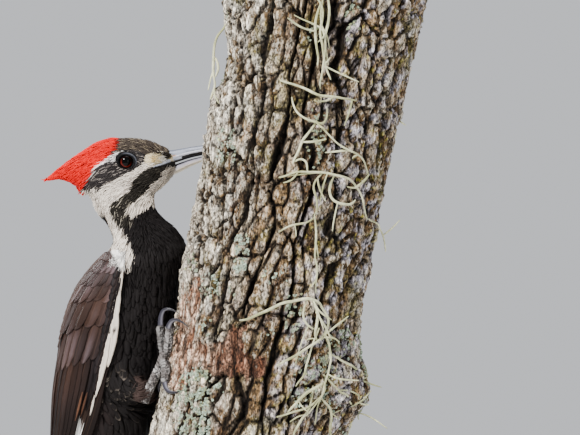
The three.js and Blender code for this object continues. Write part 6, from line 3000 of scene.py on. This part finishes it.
class Board:
    """A material in the making, with one principled shader."""

    def __init__(self, name: str) -> None:
        """Starts an empty material.

        Args:
            name: Its name.
        """
        self.material = bpy.data.materials.new(name)
        self.material.use_nodes = True
        self.nodes = self.material.node_tree.nodes
        self.links = self.material.node_tree.links
        self.nodes.clear()
        output = self.nodes.new("ShaderNodeOutputMaterial")
        self.principled = self.nodes.new("ShaderNodeBsdfPrincipled")
        self.links.new(self.principled.outputs[0], output.inputs[0])

    def node(self, kind: str, settings: dict, inputs: dict) -> bpy.types.Node:
        """Adds any node.

        Args:
            kind: Its type.
            settings: Its properties.
            inputs: Values or numbers for its input sockets, by name or by place.

        Returns:
            The node.
        """
        node = self.nodes.new(kind)
        for key, value in settings.items():
            setattr(node, key, value)
        for key, value in inputs.items():
            if isinstance(value, Value):
                self.links.new(value.socket, node.inputs[key])
            else:
                node.inputs[key].default_value = value
        return node

    def math(self, operation: str, *values: Value | float) -> Value:
        """Adds a Math node."""
        node = self.node("ShaderNodeMath", {"operation": operation}, dict(enumerate(values)))
        return Value(self, node.outputs[0])

    def mix(self, factor: Value | float, first: object, second: object, blend: str = "MIX") -> Value:
        """Mixes two colours.

        Args:
            factor: How much of the second one.
            first: A Value or four numbers.
            second: A Value or four numbers.
            blend: How they are mixed.

        Returns:
            The mixed colour.
        """
        settings = {"data_type": "RGBA", "blend_type": blend}
        node = self.node("ShaderNodeMix", settings, {0: factor, 6: first, 7: second})
        return Value(self, node.outputs[2])

    def lit(self, light: Value) -> Value:
        """Multiplies the mesh's own colours by a brightness."""
        shade = self.node("ShaderNodeCombineXYZ", {}, {0: light, 1: light, 2: light}).outputs[0]
        return self.mix(1.0, self.kept("marking"), Value(self, shade), "MULTIPLY")

    def ease(self, value: Value, low: float, high: float, start: float = 0.0, end: float = 1.0) -> Value:
        """Eases a value from start to end as it goes from low to high.

        Args:
            value: The value.
            low: Where the result leaves start.
            high: Where it reaches end.
            start: The result at and below low.
            end: The result at and above high.

        Returns:
            The eased value.
        """
        settings = {"interpolation_type": "SMOOTHSTEP"}
        inputs = {"Value": value, 1: low, 2: high, 3: start, 4: end}
        return Value(self, self.node("ShaderNodeMapRange", settings, inputs).outputs[0])

    def kept(self, name: str, part: str = "Vector") -> Value:
        """Reads a value that the mesh keeps at its points."""
        node = self.node("ShaderNodeAttribute", {"attribute_name": name}, {})
        return Value(self, node.outputs[part])

    def parts(self, vector: Value) -> tuple[Value, Value, Value]:
        """Parts a vector into its three numbers."""
        node = self.node("ShaderNodeSeparateXYZ", {}, {0: vector})
        return tuple(Value(self, out) for out in node.outputs)

    def where(self, stretch: tuple[float, float, float] = (1, 1, 1)) -> Value:
        """Reads the place in the object, in metres, stretched along its axes.

        Args:
            stretch: Factors for x, y and z.

        Returns:
            The place.
        """
        place_ = self.node("ShaderNodeTexCoord", {}, {}).outputs["Object"]
        node = self.node(
            "ShaderNodeVectorMath", {"operation": "MULTIPLY"}, {0: Value(self, place_), 1: stretch},
        )
        return Value(self, node.outputs[0])

    def noise(self, size: float, detail: float = 3, stretch: tuple = (1, 1, 1), rough: float = 0.55) -> Value:
        """Adds noise in the object's space."""
        inputs = {"Vector": self.where(stretch), "Scale": 1000 / size, "Detail": detail, "Roughness": rough}
        return Value(self, self.node("ShaderNodeTexNoise", {}, inputs).outputs[0])

    def cells(self, size: float, feature: str = "F1", stretch: tuple = (1, 1, 1)) -> Value:
        """Adds a pattern of cells."""
        inputs = {"Vector": self.where(stretch), "Scale": 1000 / size}
        return Value(self, self.node("ShaderNodeTexVoronoi", {"feature": feature}, inputs).outputs[0])

    def relief(self, height: Value, depth: float, strength: float = 1.0, under: Value | None = None) -> Value:
        """Adds a bump.

        Args:
            height: The height, from 0 to 1.
            depth: How much one unit of height is, in millimetres.
            strength: How strongly it shows.
            under: Another bump that it adds to.

        Returns:
            The bent normal.
        """
        inputs = {"Height": height, "Distance": depth * MM, "Strength": strength}
        if under is not None:
            inputs["Normal"] = under
        return Value(self, self.node("ShaderNodeBump", {}, inputs).outputs[0])

    def finish(self, **inputs: object) -> bpy.types.Material:
        """Fills the shader's sockets.

        Args:
            inputs: Values or numbers, by the socket's name with _ for a space.

        Returns:
            The finished material.
        """
        for key, value in inputs.items():
            socket = self.principled.inputs[key.replace("_", " ")]
            if isinstance(value, Value):
                self.links.new(value.socket, socket)
            else:
                socket.default_value = value
        return self.material


def rgba(colour: Array) -> tuple[float, float, float, float]:
    """Adds a full alpha to a colour.

    Args:
        colour: A linear colour.

    Returns:
        Four numbers.
    """
    return (*(float(c) for c in colour), 1.0)


@dataclass(frozen=True)
class FeatherFinish:
    """Feathers: their own colour, a shaft, fine barbs slanting from it, and a silky gloss."""

    name: str
    roughness: float = 0.66
    gloss: float = 0.1
    sheen: float = 0.0
    tint: tuple[float, float, float, float] = (0.9, 0.85, 0.85, 1)
    barbs: float = 26.0
    barb_depth: float = 0.05
    edge: float = 0.25
    shaft: float = 0.0

    def build(self) -> bpy.types.Material:
        """Makes the material.

        Returns:
            The material.
        """
        board = Board(self.name)
        across, along, chance = board.parts(board.kept("vane"))
        off = board.math("ABSOLUTE", across)
        line = board.math("SINE", (along * 2.2 - off * 0.55) * (self.barbs * math.tau) + chance * 9)
        patchy = board.noise(2.6, 2)
        rim = board.ease(off, 0.6, 1.0)
        # Darker toward each feather's side edges: painted shade between overlapping feathers.
        light = 1 + line * 0.07 + (patchy - 0.5) * 0.35 - rim * self.edge
        shaft = board.ease(off, 0.03, 0.11, 1, 0) * self.shaft
        colour = board.mix(shaft, board.lit(light), rgba(tone(96, 72, 58)))
        rough = self.roughness + (board.noise(5, 2) - 0.5) * 0.2
        return board.finish(
            Base_Color=colour,
            Roughness=rough,
            Normal=board.relief(line * 0.5 + 0.5, self.barb_depth, 0.5),
            Specular_IOR_Level=self.gloss,
            Sheen_Weight=self.sheen,
            Sheen_Roughness=0.4,
            Sheen_Tint=self.tint,
        )


@dataclass(frozen=True)
class SkinFinish:
    """Soft skin under the feathers, in a darker copy of the feathers' own colours mottled toward black:
    painted shade for the gaps between them.
    """

    name: str = "bird_skin"

    def build(self) -> bpy.types.Material:
        """Makes the material.

        Returns:
            The material.
        """
        board = Board(self.name)
        shade = board.mix((board.noise(1.6, 3) - 0.3) * 0.6, board.kept("marking"), rgba(BLACK * 0.5))
        bumps = board.relief(board.noise(0.9, 3), 0.3, 0.6)
        return board.finish(Base_Color=shade, Roughness=0.8, Normal=bumps, Specular_IOR_Level=0.2)


@dataclass(frozen=True)
class HardFinish:
    """Horn, scales, claws and lids: the mesh's own colours under fine streaks."""

    name: str
    roughness: float
    coat: float = 0.0
    grain: float = 1.2
    stretch: tuple[float, float, float] = (1, 1, 1)
    depth: float = 0.06
    mottle: float = 0.3
    coat_roughness: float = 0.15
    gloss: float = 0.5

    def build(self) -> bpy.types.Material:
        """Makes the material.

        Returns:
            The material.
        """
        board = Board(self.name)
        streak = board.noise(self.grain, 4, self.stretch)
        wide = board.noise(self.grain * 5, 2)
        light = 1 + (streak - 0.5) * self.mottle * 2 + (wide - 0.5) * self.mottle
        return board.finish(
            Base_Color=board.lit(light),
            Roughness=self.roughness + (streak - 0.5) * 0.25,
            Normal=board.relief(streak, self.depth, 0.7),
            Coat_Weight=self.coat,
            Coat_Roughness=self.coat_roughness,
            Specular_IOR_Level=self.gloss,
        )


@dataclass(frozen=True)
class BarkFinish:
    """Bark: the mesh's own colours, with grit, pits and fine cracks that are too small for the mesh; the pits
    and cracks are painted darker as shade, and pale specks on raised bark are painted highlights.
    """

    name: str = "bark"

    def build(self) -> bpy.types.Material:
        """Makes the material.

        Returns:
            The material.
        """
        board = Board(self.name)
        grit = board.noise(1.3, 5, (1, 1, 0.55), 0.7)
        coarse = board.noise(4.0, 4, (1, 1, 0.4), 0.65)
        pits = board.ease(board.cells(2.1, "F1", (1, 1, 0.55)), 0.08, 0.4)
        cracks = board.ease(board.cells(5.0, "DISTANCE_TO_EDGE", (1, 1, 0.35)), 0.0, 0.1)
        height = board.kept("height", "Fac")
        spots = board.ease(board.noise(2.4, 5, (1, 1, 0.6), 0.75), 0.36, 0.5)
        speckle = board.ease(grit, 0.36, 0.64)
        light = (0.22 + 1.0 * spots) * (0.5 + 0.8 * board.ease(coarse, 0.32, 0.66))
        # This also darkens the pits and fine cracks: painted shade.
        light = light * (0.4 + 0.66 * pits) * (0.5 + 0.55 * cracks) * (0.22 + 1.75 * speckle)
        colour = board.lit(light)
        # Pale specks on the raised bark: painted highlights.
        pale = board.ease(board.noise(1.9, 5, (1, 1, 0.5), 0.75), 0.52, 0.57) * board.ease(height, 0.36, 0.62)
        colour = board.mix(
            pale * 0.85, colour, board.mix(0.72, board.kept("marking"), rgba(tone(250, 240, 220))),
        )
        fine = board.relief(speckle * 0.5 + pits * 0.5 + spots * 0.4, 0.8, 1.0)
        return board.finish(
            Base_Color=colour,
            Roughness=0.88,
            Normal=board.relief(coarse * 0.8 + cracks * 0.5, 1.8, 0.9, fine),
            Specular_IOR_Level=0.2,
        )


@dataclass(frozen=True)
class LichenFinish:
    """Lichen and hanging moss: a dry, powdery surface in the mesh's own colours."""

    name: str
    size: float = 1.0

    def build(self) -> bpy.types.Material:
        """Makes the material.

        Returns:
            The material.
        """
        board = Board(self.name)
        grain = board.noise(self.size, 4, rough=0.65)
        colour = board.mix(
            board.ease(grain, 0.3, 0.62, 0.45, 0), board.kept("marking"), rgba(tone(84, 88, 62)),
        )
        return board.finish(
            Base_Color=colour,
            Roughness=0.9,
            Normal=board.relief(grain, 0.3, 0.8),
            Specular_IOR_Level=0.2,
            Sheen_Weight=0.15,
        )


@dataclass(frozen=True)
class WoodFinish:
    """Wood of the stand and of the trunk's cut ends."""

    name: str
    dark: Array
    light: Array
    plank: bool
    gloss: float
    roughness: float

    def build(self) -> bpy.types.Material:
        """Makes the material.

        Returns:
            The material.
        """
        board = Board(self.name)
        x, y, z = board.parts(board.where())
        if not self.plank:
            off = x - (z * STANCE.lean + STANCE.foot * MM)
            reach = board.math("SQRT", off**2 + y**2 + (board.noise(60, 3) - 0.5) * 0.0006)
            rings = board.math("SINE", reach * 1700 + board.noise(14, 4) * 6) * 0.6 + board.noise(30, 3) - 0.5
            grain = board.noise(1.4, 4, (1, 6, 1))
        else:
            reach = board.math(
                "SQRT", y**2 + (z + 0.03) ** 2 + (board.noise(90, 3, (0.3, 1, 1)) - 0.5) * 0.0022,
            )
            rings = board.math("SINE", reach * 900 + board.noise(40, 3, (0.25, 1, 1)) * 5) * 0.4
            grain = board.noise(2.2, 5, (0.08, 1, 1))
        share = board.ease(rings * 0.5 + grain * 0.9, 0.1, 1.1)
        return board.finish(
            Base_Color=board.mix(share, rgba(self.dark), rgba(self.light)),
            Roughness=self.roughness + (grain - 0.5) * 0.2,
            Normal=board.relief(share, 0.08, 0.5),
            Coat_Weight=self.gloss,
            Coat_Roughness=0.25,
        )


@dataclass(frozen=True)
class SteelFinish:
    """Brushed steel, with fine scratches round the rods."""

    name: str = "stand_steel"

    def build(self) -> bpy.types.Material:
        """Makes the material.

        Returns:
            The material.
        """
        board = Board(self.name)
        brush = board.noise(1.2, 3, (0.2, 0.2, 8))
        colour = board.mix(brush, rgba(tone(150, 152, 156)), rgba(tone(196, 198, 202)))
        return board.finish(
            Base_Color=colour,
            Metallic=1.0,
            Roughness=0.24 + brush * 0.18,
            Normal=board.relief(brush, 0.02, 0.4),
        )


@dataclass(frozen=True)
class FloorFinish:
    """A plain pale studio floor."""

    name: str = "studio_floor"

    def build(self) -> bpy.types.Material:
        """Makes the material.

        Returns:
            The material.
        """
        board = Board(self.name)
        shade = board.mix(board.noise(400, 2), rgba(tone(226, 226, 224)), rgba(tone(232, 232, 230)))
        return board.finish(Base_Color=shade, Roughness=0.7)


# ---------------------------------------------------------------- studio


@dataclass(frozen=True)
class Lamp:
    """A soft area light."""

    name: str
    at: tuple[float, float, float]
    target: tuple[float, float, float]
    size: float
    power: float
    colour: tuple[float, float, float] = (1, 1, 1)

    def build(self) -> None:
        """Adds the light to the scene."""
        light = bpy.data.lights.new(self.name, "AREA")
        light.size = self.size
        light.energy = self.power
        light.color = self.colour
        lamp = bpy.data.objects.new(self.name, light)
        lamp.location = self.at
        aim = Vector(self.target) - Vector(self.at)
        lamp.rotation_euler = aim.to_track_quat("-Z", "Y").to_euler()
        bpy.context.scene.collection.objects.link(lamp)


@dataclass(frozen=True)
class Studio:
    """The camera, the lights, the pale floor and the sky round them."""

    target: tuple[float, float, float] = (0.0177, 0.01, 0.3706)
    distance: float = 3.1417
    lens: float = 300.0
    floor_radius: float = 1.1
    sky: tuple[float, float, float, float] = (0.86, 0.88, 0.92, 1)
    sky_strength: float = 0.8
    lamps: tuple[Lamp, ...] = (
        Lamp("key", (-1.0, -1.55, 1.75), (-0.02, 0.0, 0.34), 0.5, 105, (1.0, 0.985, 0.96)),
        Lamp("fill", (1.5, -1.5, 0.7), (0.0, 0.0, 0.33), 1.4, 12, (0.94, 0.97, 1.0)),
        Lamp("rim", (-1.3, 1.3, 1.2), (-0.08, 0.02, 0.35), 0.7, 34),
        Lamp("top", (0.2, 0.2, 2.0), (0.0, 0.0, 0.3), 1.2, 18),
    )

    def build(self) -> None:
        """Sets up the studio."""
        scene = bpy.context.scene
        world = bpy.data.worlds.new("studio_sky")
        world.use_nodes = True
        backdrop = world.node_tree.nodes["Background"]
        backdrop.inputs[0].default_value = self.sky
        backdrop.inputs[1].default_value = self.sky_strength
        scene.world = world
        for lamp in self.lamps:
            lamp.build()
        camera = bpy.data.cameras.new("camera")
        camera.lens = self.lens
        camera.sensor_width = 36
        camera.clip_start = 0.1
        camera.clip_end = 20
        camera.dof.use_dof = False
        eye = bpy.data.objects.new("camera", camera)
        eye.location = (self.target[0], self.target[1] - self.distance, self.target[2])
        eye.rotation_euler = (math.radians(90), 0, 0)
        scene.collection.objects.link(eye)
        scene.camera = eye
        self.floor()

    def floor(self) -> None:
        """Lays the floor: a thin disc under the stand."""
        turn = circle(96)
        flat = np.stack([np.cos(turn), np.sin(turn), 0 * turn], axis=1)
        levels = ((0.98, -4), (1.0, -3.4), (1.0, -0.6), (0.998, 0))
        rings = np.stack([flat * self.floor_radius / MM * share + (0, 0, rise) for share, rise in levels])
        form = tube(rings, np.array([0, 0, -4.0]), np.array([0, 0, 0.0]))
        form.piece("floor", FloorFinish().build(), smooth=False)


def main() -> None:
    """Builds the whole scene."""
    logging.basicConfig(level=logging.INFO, format="%(message)s")
    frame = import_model()
    LOG.info("nodes: %d", len(frame.get("nodes", [])) if isinstance(frame, dict) else 0)
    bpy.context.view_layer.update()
    feathers = FeatherFinish("feathers").build()
    coat = Coat()
    coat.make_skin(SkinFinish().build())
    coat.make_feathers(feathers)
    flight = FeatherFinish(
        "flight_feathers", 0.5, 0.11, 0.0, (0.95, 0.8, 0.9, 1), 40, 0.05, 0.08, 0.15,
    ).build()
    for number, side in enumerate(Side):
        WingFeathers(Wing(side, 31 + number)).make(flight)
    Tail().make(flight)
    Bill().make(coat.skin)
    wet = HardFinish("eye_wet", 0.5, 0.22, 1.0, (1, 1, 1), 0.0, 0.1, 0.02, 0.0).build()
    lid = HardFinish("eyelid_skin", 0.6, 0.0, 0.6, (1, 1, 1), 0.08, 0.3, gloss=0.06).build()
    scaled = HardFinish("leg_scales", 0.6, 0.0, 0.8, (1, 1, 1), 0.12, 0.35, gloss=0.25).build()
    horn = HardFinish("claw_horn", 0.3, 0.3, 0.9, (1, 1, 0.4), 0.03, 0.2, gloss=0.3).build()
    for side in Side:
        Eye(side).make(wet, lid)
        Leg(side).make(scaled, horn)
    _, bark = Trunk().make()
    lichens = Lichens(bark)
    lichens.make(LichenFinish("lichen", 0.9).build())
    Moss(lichens).make(LichenFinish("moss", 2.5).build())
    Stand().make()
    Studio().build()


if __name__ == "__main__":
    main()
